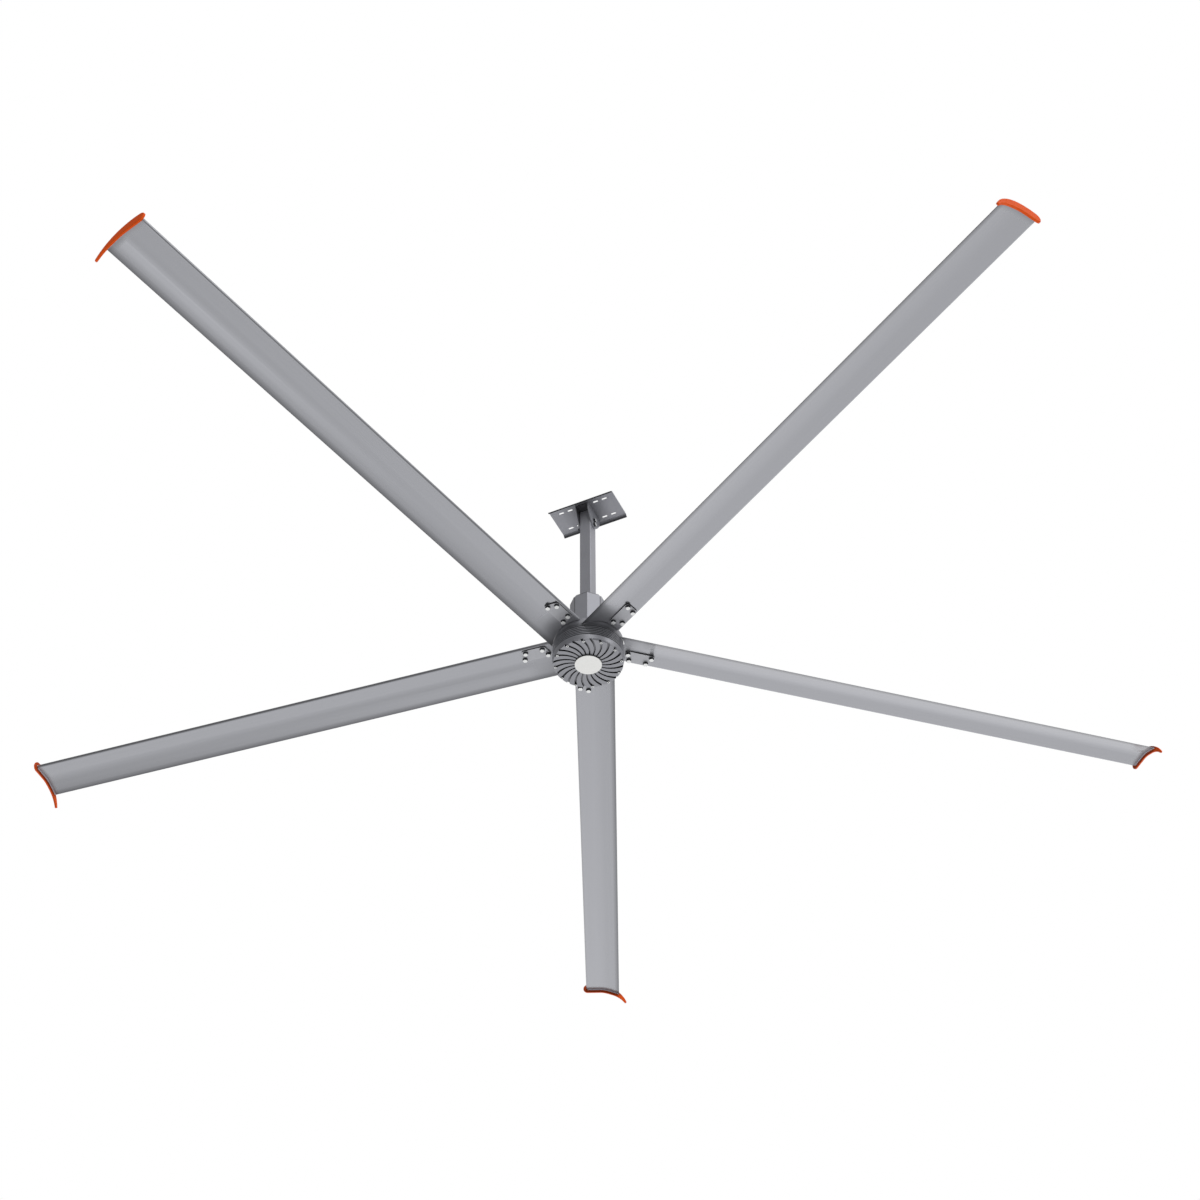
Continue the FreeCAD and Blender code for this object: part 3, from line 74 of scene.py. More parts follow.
SHELL_BAND = (6 * MM, 4 * MM)           # band of painted shade under the blades, below the shell's top
CAP_SIDE = (-1003 * MM, -985 * MM)      # heights between which a tip cap's tail turns into its side
TRAILING_EDGE = 128 * MM                # blade's middle line to its trailing edge
TRAILING_BAND = 26 * MM                 # width of the band of painted shade along that edge
BLADE_START = 175 * MM                  # fan's axis to a blade's inner end
ROOT_BAND = 170 * MM                    # length of the dull part at that end
BLADE_END = 3040 * MM                   # fan's axis to a blade's outer end
SAWN_BAND = (30 * MM, 5 * MM)           # dull part at that end

# Sizes of the fasteners. An outline gives radius and height above the seat, in millimetres.
ROOT_GRIP = 18 * MM                     # thread of a root bolt in the hub
SADDLE_DROP = 76 * MM                   # ceiling plate's top to the first cross bolt
SOCKET_RISE = 54 * MM                   # socket's foot to its lower cross bolt
CROSS_SPACING = 32 * MM                 # between two cross bolts of a pair
FLANGE_RISE = 3.2 * MM                  # height of a flange with its domed collar
HEAD_BEVEL = math.radians(30)           # bevel round the end of a hexagon
THREAD_DEPTH = 0.61                     # depth of a thread as a share of its pitch
SHARP = math.radians(25)                # edges that turn by more than this stay sharp
WELD = 1e-6                             # points nearer than this become one
COVER_SCREW_HEAD = ((6.5, 0), (6.5, 4.2), (6.2, 4.7), (5.6, 5), (3.9, 5))
SHROUD_SCREW_HEAD = ((5, 0), (5, 0.8), (4.6, 1.7), (3.6, 2.4), (2.4, 2.6))

SENSOR = 36             # width of the camera's sensor in millimetres
FLOOR_REACH = 300       # metres from the floor's middle to its edges
# Soft lights of the room, each with its turn from the camera's right and its height angle in degrees, its
# narrowness and its strength. A black panel takes light away, so its strength is below zero.
SOFT_LIGHTS = (
    (0, -90, 3, 0.45),      # floor, wide
    (60, -40, 5, 0.4),      # low, far right
    (120, -40, 5, 0.45),    # low, far left
    (60, 5, 5, 0.85),       # level, far right
    (120, 5, 5, 0.65),      # level, far left
    (300, 5, 5, 0.5),       # level, near right
    (60, 48, 5, 0.3),       # high, far right
    (300, 48, 5, 1.1),      # high, near right
    (330, 30, 5, 0.55),     # high, right, for the column's right faces
    (273, 14, 90, 1.6),     # strip for the streak down the shell's front
    (335, 18, 90, 1.6),     # strip for the streak down the shell's right
    (90, -15, 25, 0.15),    # low and straight ahead, for the far blade
    (90, -30, 25, 0.1),     # lower, for the same blade
    (48, -72, 80, 0.45),    # under the right blade
    (150, -75, 80, 0.3),    # under the left blade
    (60, -15, 80, -0.1),    # black panel for the right blade's dark half
    (105, -60, 25, -0.1),   # black panel for the far blade's dark side
)


def linear(hex_code):
    """Turn an sRGB hex colour into linear values."""
    parts = [int(hex_code[i:i + 2], 16) / 255 for i in (0, 2, 4)]
    return tuple(c / 12.92 if c <= 0.04045 else ((c + 0.055) / 1.055) ** 2.4 for c in parts)


def colour(label, words, hex_code):
    """Declare a colour that a user may change."""
    return bpy.props.FloatVectorProperty(name=label, description=words, subtype="COLOR", size=3, min=0,
                                         max=1, default=linear(hex_code))


def length(label, words, metres):
    """Declare a length that a user may change."""
    return bpy.props.FloatProperty(name=label, description=words, default=metres, unit="LENGTH",
                                   precision=4)


def angle(label, words, degrees):
    """Declare an angle that a user may change."""
    return bpy.props.FloatProperty(name=label, description=words, default=math.radians(degrees),
                                   subtype="ANGLE")


def amount(label, words, number):
    """Declare a plain number that a user may change."""
    return bpy.props.FloatProperty(name=label, description=words, default=number, min=0)


class FanFinishes(bpy.types.PropertyGroup):
    """Colours of the fan's finishes."""
    coat: colour("Column coat", "Metallic grey powder coat of the plate, tube and shroud", "AAABB2")
    casting: colour("Casting coat", "Grey coat of the hub, the ribbed shell and the cover", "A1A2A8")
    blade: colour("Blade", "Satin anodised aluminium of the blades", "A8A9AE")
    zinc: colour("Zinc", "Bright zinc plating of the fasteners", "FCFFFF")
    # The dark zinc paints shade on the sides of the fasteners' heads.
    painted_shade_zinc: colour("Dark zinc", "Dark sides of the fasteners' heads", "34363A")
    clamp: colour("Clamp plate", "Zinc plated clamp plates", "BABBC0")
    cap: colour("Tip cap", "Orange moulded tip caps", "F9601C")
    plug: colour("End plug", "Blue-grey moulded end plugs", "CCD8E4")
    disc: colour("Centre disc", "Off-white moulded centre disc", "FAFAF7")


class FanLayout(bpy.types.PropertyGroup):
    """Where the blades and the bolts stand, and how large the bolts and plugs are."""
    blade_angle: angle("First blade", "Direction of the first blade at rest", 42.1)
    clamp_middle: length("Clamp middle", "Radius of the middle of a blade's four bolts", 0.268)
    aft_spacing: length("Aft spacing", "Between the two bolts of the aft row", 0.122)
    fore_spacing: length("Fore spacing", "Between the two bolts of the fore row", 0.087)
    aft_row: length("Aft row", "Aft row's place across the blade", 0.0045)
    fore_row: length("Fore row", "Fore row's place across the blade", 0.0455)
    root_inner: length("Inner root bolts", "Radius of a strut's inner root bolts", 0.112)
    root_outer: length("Outer root bolts", "Radius of a strut's outer root bolts", 0.154)
    tie_circle: length("Tie bolts", "Radius of the cover's bolt circle", 0.163)
    tie_angle: angle("First tie bolt", "From the first blade to the first tie bolt", 5.3)
    bolt_radius: length("Bolt", "Shank radius of the flanged bolts", 0.006)
    bolt_hex: length("Bolt head", "Width of a head across its flats", 0.019)
    clamp_hex: length("Clamp head", "Width across flats of the heads under the clamp plates", 0.021)
    bolt_flange: length("Bolt flange", "Radius of a head's flange", 0.013)
    bolt_height: length("Bolt head height", "Height of a head with its flange", 0.010)
    clamp_height: length("Clamp head height", "Height of the heads under the clamp plates", 0.012)
    plug_flange: length("Plug flange", "Thickness of an end plug's flange", 0.006)
    plug_lift: length("Plug lift", "How far an end plug's skirt is drawn up", 0.0065)
    bolt_show: length("Bolt end", "Thread standing out of a nut", 0.005)
    thread_pitch: length("Thread pitch", "Pitch of the bolts' thread", 0.00175)


class FanStage(bpy.types.PropertyGroup):
    """Camera, floor and light."""
    camera_place: bpy.props.FloatVectorProperty(name="Camera place", subtype="TRANSLATION", unit="LENGTH",
                                                description="Where the camera stands", size=3,
                                                default=(2.8585, -6.1264, -7.3736))
    yaw: angle("Yaw", "Turn of the camera from +Y towards -X", 24.50)
    pitch: angle("Pitch", "How far the camera looks up", 44.85)
    roll: angle("Roll", "Lean of the camera about its line of sight", -0.638)
    lens: amount("Lens", "Focal length in millimetres, on a 36 mm sensor", 56.754)
    floor_height: length("Floor", "Height of the studio floor", -12.0)
    room_light: amount("Room light", "Even light from all round", 0.18)
    soft_light: amount("Soft lights", "Strength of the soft lights, as a multiple of their own", 1.0)


def put(tree, kind, sockets=None, **settings):
    """Add a node, set it up and link or fill its sockets."""
    node = tree.nodes.new(kind)
    for key, value in settings.items():
        setattr(node, key, value)
    for key, value in (sockets or {}).items():
        if isinstance(value, bpy.types.NodeSocket):
            tree.links.new(value, node.inputs[key])
        else:
            node.inputs[key].default_value = value
    return node


def begin(name):
    """Start an empty node material and return it with its tree and its object coordinates."""
    material = bpy.data.materials.new(name)
    material.use_nodes = True
    material.node_tree.nodes.clear()
    coords = put(material.node_tree, "ShaderNodeTexCoord")
    return material, material.node_tree, coords.outputs["Object"]


def end(material, shader):
    """Link the shader to the material's output and return the material."""
    put(material.node_tree, "ShaderNodeOutputMaterial", {"Surface": shader.outputs["BSDF"]})
    return material


def shade(rgb, factor):
    """Return an RGBA colour made lighter or darker."""
    return tuple(min(1.0, c * factor) for c in rgb) + (1.0,)


def per_mm(size):
    """Return the texture scale whose features are about this many millimetres across."""
    return 1.0 / (size * MM)


def upright(tree, depth):
    """Return this depth where the surface stands upright and zero where it lies level."""
    normal = put(tree, "ShaderNodeTexCoord").outputs["Normal"]
    facing = put(tree, "ShaderNodeSeparateXYZ", {"Vector": normal})
    level = put(tree, "ShaderNodeMath", {0: facing.outputs["Z"]}, operation="ABSOLUTE")
    steep = put(tree, "ShaderNodeMapRange",
                {"Value": level.outputs["Value"], "From Min": 0.3, "From Max": 0.7, "To Min": depth,
                 "To Max": 0.0})
    return steep.outputs["Result"]


def axis_distance(tree, place):
    """Return the distance from the fan's axis."""
    flat = put(tree, "ShaderNodeVectorMath", {0: place, 1: (1, 1, 0)}, operation="MULTIPLY")
    away = put(tree, "ShaderNodeVectorMath", {0: flat.outputs["Vector"]}, operation="LENGTH")
    return away.outputs["Value"]


def off_middle(tree, place, axis):
    """Return the distance from the fan's middle, along the ceiling plate or across it."""
    side = put(tree, "ShaderNodeSeparateXYZ", {"Vector": place})
    return put(tree, "ShaderNodeMath", {0: side.outputs[axis]}, operation="ABSOLUTE").outputs["Value"]


def plate_folds(tree, place):
    """Mark the ceiling plate's folded edges and the strip beside the saddle, which lie in shade."""
    beside = put(tree, "ShaderNodeMapRange",
                 {"Value": off_middle(tree, place, "X"), "From Min": SADDLE_SHADE[0],
                  "From Max": SADDLE_SHADE[1], "To Min": 0.45, "To Max": 0.0})
    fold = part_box("ceiling_plate")[1][1] - PLATE_FOLD
    folded = put(tree, "ShaderNodeMapRange",
                 {"Value": off_middle(tree, place, "Y"), "From Min": fold, "From Max": fold + FOLD_EASE,
                  "To Min": 0.0, "To Max": 0.8})
    both = put(tree, "ShaderNodeMath", {0: folded.outputs["Result"], 1: beside.outputs["Result"]},
               operation="MAXIMUM")
    return both.outputs["Value"]


def saddle_gap(tree, place):
    """Mark the inside of the saddle, which lies in shade."""
    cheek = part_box("saddle")[1][0] - SADDLE_SHEET
    inside = put(tree, "ShaderNodeMapRange",
                 {"Value": off_middle(tree, place, "X"), "From Min": cheek, "From Max": cheek + 1 * MM,
                  "To Min": 0.75, "To Max": 0.0})
    return inside.outputs["Result"]


def sheet_seams(tree, place):
    """Mark the shroud's four upright seams as dark lines, and a dark band just below its top edge."""
    spot = put(tree, "ShaderNodeSeparateXYZ", {"Vector": place})
    turn = put(tree, "ShaderNodeMath", {0: spot.outputs["Y"], 1: spot.outputs["X"]}, operation="ARCTAN2")
    past = put(tree, "ShaderNodeMath", {0: turn.outputs["Value"], 1: SEAM_LAG}, operation="ADD")
    aside = put(tree, "ShaderNodeMath", {0: past.outputs["Value"], 1: SEAM_STEP / 2}, operation="PINGPONG")
    seam = put(tree, "ShaderNodeMapRange",
               {"Value": aside.outputs["Value"], "From Min": SEAM_LINE[0], "From Max": SEAM_LINE[1],
                "To Min": 0.8, "To Max": 0.0})
    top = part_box("shroud_panel_1")[1][2]
    edge = put(tree, "ShaderNodeMapRange",
               {"Value": spot.outputs["Z"], "From Min": top - SHROUD_EDGE[0],
                "From Max": top - SHROUD_EDGE[1], "To Min": 0.0, "To Max": 0.6})
    both = put(tree, "ShaderNodeMath", {0: seam.outputs["Result"], 1: edge.outputs["Result"]},
               operation="MAXIMUM")
    return both.outputs["Value"]


def cover_grooves(tree, place):
    """Mark painted shade on the walls of the cover's swirl grooves, inside its rim, and more faintly on
    their floors.
    """
    low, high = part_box("bottom_cover")
    inside = put(tree, "ShaderNodeMath", {0: axis_distance(tree, place), 1: high[0] - COVER_RIM},
                 operation="LESS_THAN")
    height = put(tree, "ShaderNodeSeparateXYZ", {"Vector": place}).outputs["Z"]
    floor = put(tree, "ShaderNodeMapRange",
                {"Value": height, "From Min": low[2] + GROOVE_FLOOR[0],
                 "From Max": low[2] + GROOVE_FLOOR[1], "To Min": 0.0, "To Max": 0.4})
    groove = put(tree, "ShaderNodeMath", {0: upright(tree, 0.95), 1: floor.outputs["Result"]},
                 operation="MAXIMUM")
    kept = put(tree, "ShaderNodeMath", {0: groove.outputs["Value"], 1: inside.outputs["Value"]},
               operation="MULTIPLY")
    return kept.outputs["Value"]


def hub_foot(tree, place):
    """Mark the foot of the hub's side, which lies in shade between the blades and the shell."""
    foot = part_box("rotor_shell")[1][2]
    height = put(tree, "ShaderNodeSeparateXYZ", {"Vector": place}).outputs["Z"]
    shaded = put(tree, "ShaderNodeMapRange",
                 {"Value": height, "From Min": foot, "From Max": foot + HUB_SHADE, "To Min": 0.7,
                  "To Max": 0.1})
    return shaded.outputs["Result"]


def shell_grooves(tree, place):
    """Mark painted shade in the grooves between the shell's ribs, above its plain skirt, and in the band
    over them, under the blades.
    """
    low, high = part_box("rotor_shell")
    height = put(tree, "ShaderNodeSeparateXYZ", {"Vector": place}).outputs["Z"]
    above = put(tree, "ShaderNodeMath", {0: height, 1: low[2] + SHELL_SKIRT}, operation="GREATER_THAN")
    depth = put(tree, "ShaderNodeMapRange",
                {"Value": axis_distance(tree, place), "From Min": high[0] - RIB_ROOT[0],
                 "From Max": high[0] - RIB_ROOT[1], "To Min": 0.62, "To Max": 0.0})
    band = put(tree, "ShaderNodeMapRange",
               {"Value": height, "From Min": high[2] - SHELL_BAND[0], "From Max": high[2] - SHELL_BAND[1],
                "To Min": 0.0, "To Max": 0.5})
    both = put(tree, "ShaderNodeMath", {0: depth.outputs["Result"], 1: band.outputs["Result"]},
               operation="MAXIMUM")
    kept = put(tree, "ShaderNodeMath", {0: both.outputs["Value"], 1: above.outputs["Value"]},
               operation="MULTIPLY")
    return kept.outputs["Value"]


def shaded_edges(tree, place):
    """Mark painted shade on the upright cut edges of a level plate."""
    return upright(tree, 0.94)


def hub_side_shade(tree, place):
    """Mark painted shade on a tip cap's side that looks to the hub, above its tail."""
    out = put(tree, "ShaderNodeVectorMath", {0: place, 1: (1, 1, 0)}, operation="MULTIPLY")
    ray = put(tree, "ShaderNodeVectorMath", {0: out.outputs["Vector"]}, operation="NORMALIZE")
    normal = put(tree, "ShaderNodeTexCoord").outputs["Normal"]
    facing = put(tree, "ShaderNodeVectorMath", {0: ray.outputs["Vector"], 1: normal},
                 operation="DOT_PRODUCT")
    inward = put(tree, "ShaderNodeMapRange",
                 {"Value": facing.outputs["Value"], "From Min": -0.7, "From Max": -0.3, "To Min": 0.5,
                  "To Max": 0.0})
    height = put(tree, "ShaderNodeSeparateXYZ", {"Vector": place}).outputs["Z"]
    above = put(tree, "ShaderNodeMapRange",
                {"Value": height, "From Min": CAP_SIDE[0], "From Max": CAP_SIDE[1]})
    kept = put(tree, "ShaderNodeMath", {0: inward.outputs["Result"], 1: above.outputs["Result"]},
               operation="MULTIPLY")
    return kept.outputs["Value"]


def darkened(tree, place, tone, shade_and_seam_mask):
    """Return the tone, dark where the mask marks painted shade and, on the shroud, its seam lines."""
    if not shade_and_seam_mask:
        return tone.outputs[2]
    return put(tree, "ShaderNodeMix", {0: shade_and_seam_mask(tree, place), 6: tone.outputs[2], 7: SHADE_AND_SEAM_TONE},
               data_type="RGBA").outputs[2]


def powder_coat(name, rgb, rough, shade_and_seam_mask=None):
    """Powder-coated steel: satin grey with aluminium flake, for a faint sparkle over an orange-peel skin.

    The peel is about 1.5 mm on the real coat and is drawn at 5 mm so that it shows.
    """
    material, tree, place = begin(name)
    peel = put(tree, "ShaderNodeTexNoise", {"Vector": place, "Scale": per_mm(5), "Detail": 2.0})
    cloud = put(tree, "ShaderNodeTexNoise", {"Vector": place, "Scale": per_mm(140), "Detail": 3.0})
    flake = put(tree, "ShaderNodeTexVoronoi", {"Vector": place, "Scale": per_mm(2.5)})
    tone = put(tree, "ShaderNodeMix", {0: cloud.outputs["Fac"], 6: shade(rgb, 0.92), 7: shade(rgb, 1.08)},
               data_type="RGBA")
    spark = put(tree, "ShaderNodeMix", {0: 0.06, 6: tone.outputs[2], 7: flake.outputs["Color"]},
                data_type="RGBA", blend_type="SOFT_LIGHT")
    gloss = put(tree, "ShaderNodeMapRange",
                {"Value": cloud.outputs["Fac"], "To Min": rough - 0.05, "To Max": rough + 0.06})
    skin = put(tree, "ShaderNodeBump",
               {"Height": peel.outputs["Fac"], "Strength": 0.10, "Distance": 0.4 * MM})
    shader = put(tree, "ShaderNodeBsdfPrincipled",
                 {"Base Color": darkened(tree, place, spark, shade_and_seam_mask), "Roughness": gloss.outputs["Result"],
                  "Metallic": 0.35, "Normal": skin.outputs["Normal"]})
    return end(material, shader)


def coated_casting(name, rgb, shade_and_seam_mask=None):
    """Coated cast aluminium: a satin grey coat over sand-cast skin, so it is grainier than sheet.

    Painted shade darkens the grooves and shaded parts that the mask marks.
    """
    material, tree, place = begin(name)
    grain = put(tree, "ShaderNodeTexNoise", {"Vector": place, "Scale": per_mm(3.5), "Detail": 4.0})
    cloud = put(tree, "ShaderNodeTexNoise", {"Vector": place, "Scale": per_mm(90), "Detail": 2.0})
    tone = put(tree, "ShaderNodeMix", {0: cloud.outputs["Fac"], 6: shade(rgb, 0.92), 7: shade(rgb, 1.08)},
               data_type="RGBA")
    gloss = put(tree, "ShaderNodeMapRange",
                {"Value": grain.outputs["Fac"], "To Min": 0.28, "To Max": 0.38})
    skin = put(tree, "ShaderNodeBump",
               {"Height": grain.outputs["Fac"], "Strength": 0.10, "Distance": 0.5 * MM})
    shader = put(tree, "ShaderNodeBsdfPrincipled",
                 {"Base Color": darkened(tree, place, tone, shade_and_seam_mask), "Roughness": gloss.outputs["Result"],
                  "Metallic": 0.45, "Normal": skin.outputs["Normal"]})
    return end(material, shader)


def anodised_extrusion(name, rgb, turn):
    """Anodised aluminium extrusion: satin, with die lines that run the whole length of the blade.

    Die lines are under 1 mm apart and are drawn about 6 mm apart so that they show. A band of painted shade
    darkens the trailing edge, and the two sawn ends, which are handled most, are duller.
    """
    material, tree, place = begin(name)
    along = put(tree, "ShaderNodeMapping", {"Vector": place, "Rotation": (0, 0, turn)},
                vector_type="TEXTURE")
    drawn = put(tree, "ShaderNodeMapping", {"Vector": along.outputs["Vector"], "Scale": (0.004, 1, 1)})
    lines = put(tree, "ShaderNodeTexNoise",
                {"Vector": drawn.outputs["Vector"], "Scale": per_mm(6), "Detail": 3.0})
    cloud = put(tree, "ShaderNodeTexNoise", {"Vector": place, "Scale": per_mm(400), "Detail": 2.0})
    tone = put(tree, "ShaderNodeMix", {0: lines.outputs["Fac"], 6: shade(rgb, 0.96), 7: shade(rgb, 1.04)},
               data_type="RGBA")
    spot = put(tree, "ShaderNodeSeparateXYZ", {"Vector": along.outputs["Vector"]})
    # painted shade along the trailing edge
    trailing_shade = put(tree, "ShaderNodeMapRange",
               {"Value": spot.outputs["Y"], "From Min": -TRAILING_EDGE,
                "From Max": -TRAILING_EDGE + TRAILING_BAND, "To Min": 0.5, "To Max": 0.0})
    edged = put(tree, "ShaderNodeMix", {0: trailing_shade.outputs["Result"], 6: tone.outputs[2], 7: SHADE_AND_SEAM_TONE},
                data_type="RGBA")
    gloss = put(tree, "ShaderNodeMapRange",
                {"Value": cloud.outputs["Fac"], "To Min": 0.15, "To Max": 0.21})
    sawn = put(tree, "ShaderNodeMapRange",
               {"Value": spot.outputs["X"], "From Min": BLADE_END - SAWN_BAND[0],
                "From Max": BLADE_END - SAWN_BAND[1], "To Min": 0.0, "To Max": 0.35})
    root = put(tree, "ShaderNodeMapRange",
               {"Value": spot.outputs["X"], "From Min": BLADE_START, "From Max": BLADE_START + ROOT_BAND,
                "To Min": 0.35, "To Max": 0.0})
    ends = put(tree, "ShaderNodeMath", {0: sawn.outputs["Result"], 1: root.outputs["Result"]},
               operation="ADD")
    dull = put(tree, "ShaderNodeMath", {0: gloss.outputs["Result"], 1: ends.outputs["Value"]},
               operation="ADD")
    skin = put(tree, "ShaderNodeBump",
               {"Height": lines.outputs["Fac"], "Strength": 0.03, "Distance": 0.3 * MM})
    shader = put(tree, "ShaderNodeBsdfPrincipled",
                 {"Base Color": edged.outputs[2], "Roughness": dull.outputs["Value"], "Metallic": 0.85,
                  "Normal": skin.outputs["Normal"]})
    return end(material, shader)


def zinc_plating(name, rgb, rough, shade_and_seam_mask=None):
    """Zinc plating on steel: cool and shiny, with the soft spangle of the plating bath.

    Edges that the mask marks are darkened with painted shade.
    """
    material, tree, place = begin(name)
    spangle = put(tree, "ShaderNodeTexVoronoi", {"Vector": place, "Scale": per_mm(7)})
    cloud = put(tree, "ShaderNodeTexNoise", {"Vector": place, "Scale": per_mm(12), "Detail": 3.0})
    tone = put(tree, "ShaderNodeMix", {0: cloud.outputs["Fac"], 6: shade(rgb, 0.90), 7: shade(rgb, 1.06)},
               data_type="RGBA")
    gloss = put(tree, "ShaderNodeMapRange",
                {"Value": spangle.outputs["Distance"], "To Min": rough - 0.05, "To Max": rough + 0.08})
    shader = put(tree, "ShaderNodeBsdfPrincipled",
                 {"Base Color": darkened(tree, place, tone, shade_and_seam_mask), "Roughness": gloss.outputs["Result"],
                  "Metallic": 0.5})
    return end(material, shader)


def moulded_plastic(name, rgb, rough, fine, shine=0.5, metal=0.0, shade_and_seam_mask=None):
    """Moulded plastic: even colour with the spark-eroded grain of the mould and faint flow marks.

    The grain is given in millimetres, as coarse as it needs to be to show. A pearl pigment makes the
    plastic look a little metallic.
    """
    material, tree, place = begin(name)
    grain = put(tree, "ShaderNodeTexNoise", {"Vector": place, "Scale": per_mm(fine), "Detail": 4.0})
    flow = put(tree, "ShaderNodeTexNoise",
               {"Vector": place, "Scale": per_mm(60), "Detail": 2.0, "Distortion": 1.0})
    tone = put(tree, "ShaderNodeMix", {0: flow.outputs["Fac"], 6: shade(rgb, 0.94), 7: shade(rgb, 1.06)},
               data_type="RGBA")
    gloss = put(tree, "ShaderNodeMapRange",
                {"Value": grain.outputs["Fac"], "To Min": rough - 0.05, "To Max": rough + 0.08})
    skin = put(tree, "ShaderNodeBump",
               {"Height": grain.outputs["Fac"], "Strength": 0.10, "Distance": 0.3 * MM})
    shader = put(tree, "ShaderNodeBsdfPrincipled",
                 {"Base Color": darkened(tree, place, tone, shade_and_seam_mask), "Roughness": gloss.outputs["Result"],
                  "Metallic": metal, "Specular IOR Level": shine, "Normal": skin.outputs["Normal"]})
    return end(material, shader)


def turned_steel(name, rgb):
    """Turned and ground steel: bright, with rings left by the tool round the axis.

    The rings are under 1 mm apart and are drawn about 6 mm apart so that they show.
    """
    material, tree, place = begin(name)
    rings = put(tree, "ShaderNodeTexWave", {"Vector": place, "Scale": per_mm(20), "Distortion": 0.5},
                wave_type="RINGS", rings_direction="Z")
    cloud = put(tree, "ShaderNodeTexNoise", {"Vector": place, "Scale": per_mm(25), "Detail": 3.0})
    tone = put(tree, "ShaderNodeMix", {0: cloud.outputs["Fac"], 6: shade(rgb, 0.90), 7: shade(rgb, 1.08)},
               data_type="RGBA")
    gloss = put(tree, "ShaderNodeMapRange",
                {"Value": rings.outputs["Fac"], "To Min": 0.24, "To Max": 0.38})
    shader = put(tree, "ShaderNodeBsdfPrincipled",
                 {"Base Color": tone.outputs[2], "Roughness": gloss.outputs["Result"], "Metallic": 1.0})
    return end(material, shader)


def layered_metal(name, rgb, spacing, metal):
    """Stacked laminations or wound wire: level lines between the sheets or turns.

    The spacing is the real one in millimetres, and the lines are drawn about six times as far apart so that
    they show.
    """
    material, tree, place = begin(name)
    lines = put(tree, "ShaderNodeTexWave",
                {"Vector": place, "Scale": per_mm(20 * spacing), "Distortion": 0.2},
                wave_type="BANDS", bands_direction="Z")
    tone = put(tree, "ShaderNodeMix", {0: lines.outputs["Fac"], 6: shade(rgb, 0.75), 7: shade(rgb, 1.1)},
               data_type="RGBA")
    skin = put(tree, "ShaderNodeBump",
               {"Height": lines.outputs["Fac"], "Strength": 0.3, "Distance": 0.4 * MM})
    shader = put(tree, "ShaderNodeBsdfPrincipled",
                 {"Base Color": tone.outputs[2], "Roughness": 0.42, "Metallic": metal,
                  "Normal": skin.outputs["Normal"]})
    return end(material, shader)


def rubber(name, rgb):
    """Moulded nitrile rubber: near black, dull, with a fine bloom."""
    material, tree, place = begin(name)
    bloom = put(tree, "ShaderNodeTexNoise", {"Vector": place, "Scale": per_mm(4), "Detail": 4.0})
    tone = put(tree, "ShaderNodeMix", {0: bloom.outputs["Fac"], 6: shade(rgb, 0.7), 7: shade(rgb, 1.6)},
               data_type="RGBA")
    shader = put(tree, "ShaderNodeBsdfPrincipled", {"Base Color": tone.outputs[2], "Roughness": 0.8})
    return end(material, shader)


def dress(material, *names):
    """Give one material to a set of nodes."""
    for name in names:
        slots = NODES[name].data.materials
        slots.clear()
        slots.append(material)


def numbered(name, count=5):
    """Return the names of a repeated node."""
    return ["%s_%d" % (name, k) for k in range(1, count + 1)]


def blade_turn(layout, k):
    """Return the direction of a blade at rest."""
    return layout.blade_angle + math.radians(BLADE_STEP * (k - 1))


class FAN_OT_column(bpy.types.Operator):
    """Coat the ceiling plate, saddle, tube, socket and shroud"""
    bl_idname = "fan.column"
    bl_label = "Column"

    def execute(self, context):
        coat = context.scene.fan_finishes.coat
        dress(powder_coat("powder_coated_steel", coat, 0.42), "down_tube", "motor_socket")
        dress(powder_coat("powder_coated_plate", coat, 0.42, plate_folds), "ceiling_plate")
        dress(powder_coat("powder_coated_bracket", coat, 0.42, saddle_gap), "saddle")
        dress(powder_coat("powder_coated_sheet", coat, 0.42, sheet_seams), *numbered("shroud_panel", 4))
        return {"FINISHED"}


class FAN_OT_motor(bpy.types.Operator):
    """Coat the hub, the ribbed shell and the swirl cover, and finish the centre disc"""
    bl_idname = "fan.motor"
    bl_label = "Motor"

    def execute(self, context):
        casting = context.scene.fan_finishes.casting
        dress(coated_casting("coated_cast_aluminium", casting, hub_foot), "hub")
        dress(coated_casting("coated_ribbed_casting", casting, shell_grooves), "rotor_shell")
        dress(coated_casting("coated_grooved_casting", casting, cover_grooves), "bottom_cover")
        disc = context.scene.fan_finishes.disc
        dress(moulded_plastic("pearl_white_moulded_abs", disc, 0.35, 1.5, metal=0.4), "centre_disc")
        return {"FINISHED"}


class FAN_OT_inner_parts(bpy.types.Operator):
    """Finish the axle, the bearings, the stator, the magnets and the seals inside the motor"""
    bl_idname = "fan.inner_parts"
    bl_label = "Inner parts"

    def execute(self, context):
        dress(turned_steel("turned_bearing_steel", linear("A8A9AB")), "axle", "upper_inner_ring",
              "lower_inner_ring", "upper_outer_ring", "lower_outer_ring", "shaft_nut", "back_iron",
              *numbered("strut"))
        dress(turned_steel("turned_aluminium", linear("C4C5C7")), "stator_carrier")
        dress(layered_metal("stacked_electrical_steel", linear("6E6F73"), 1.0, 1.0), "stator_core")
        dress(layered_metal("enamelled_copper_wire", linear("B4622B"), 1.6, 0.8), "stator_coils")
        dress(zinc_plating("nickel_plated_magnet", linear("B9B8B2"), 0.3), "magnets")
        dress(rubber("nitrile_rubber", linear("1A1A1B")), "cable_grommet", "shaft_seal")
        return {"FINISHED"}


class FAN_OT_blades(bpy.types.Operator):
    """Finish the blades and the clamp plates under their roots"""
    bl_idname = "fan.blades"
    bl_label = "Blades"

    def execute(self, context):
        finishes = context.scene.fan_finishes
        for k in BLADES:
            turn = blade_turn(context.scene.fan_layout, k)
            dress(anodised_extrusion("anodised_extrusion_%d" % k, finishes.blade, turn), "blade_%d" % k)
        sheet = zinc_plating("zinc_plated_sheet", finishes.clamp, 0.40, shaded_edges)
        dress(sheet, *numbered("clamp_plate"))
        return {"FINISHED"}


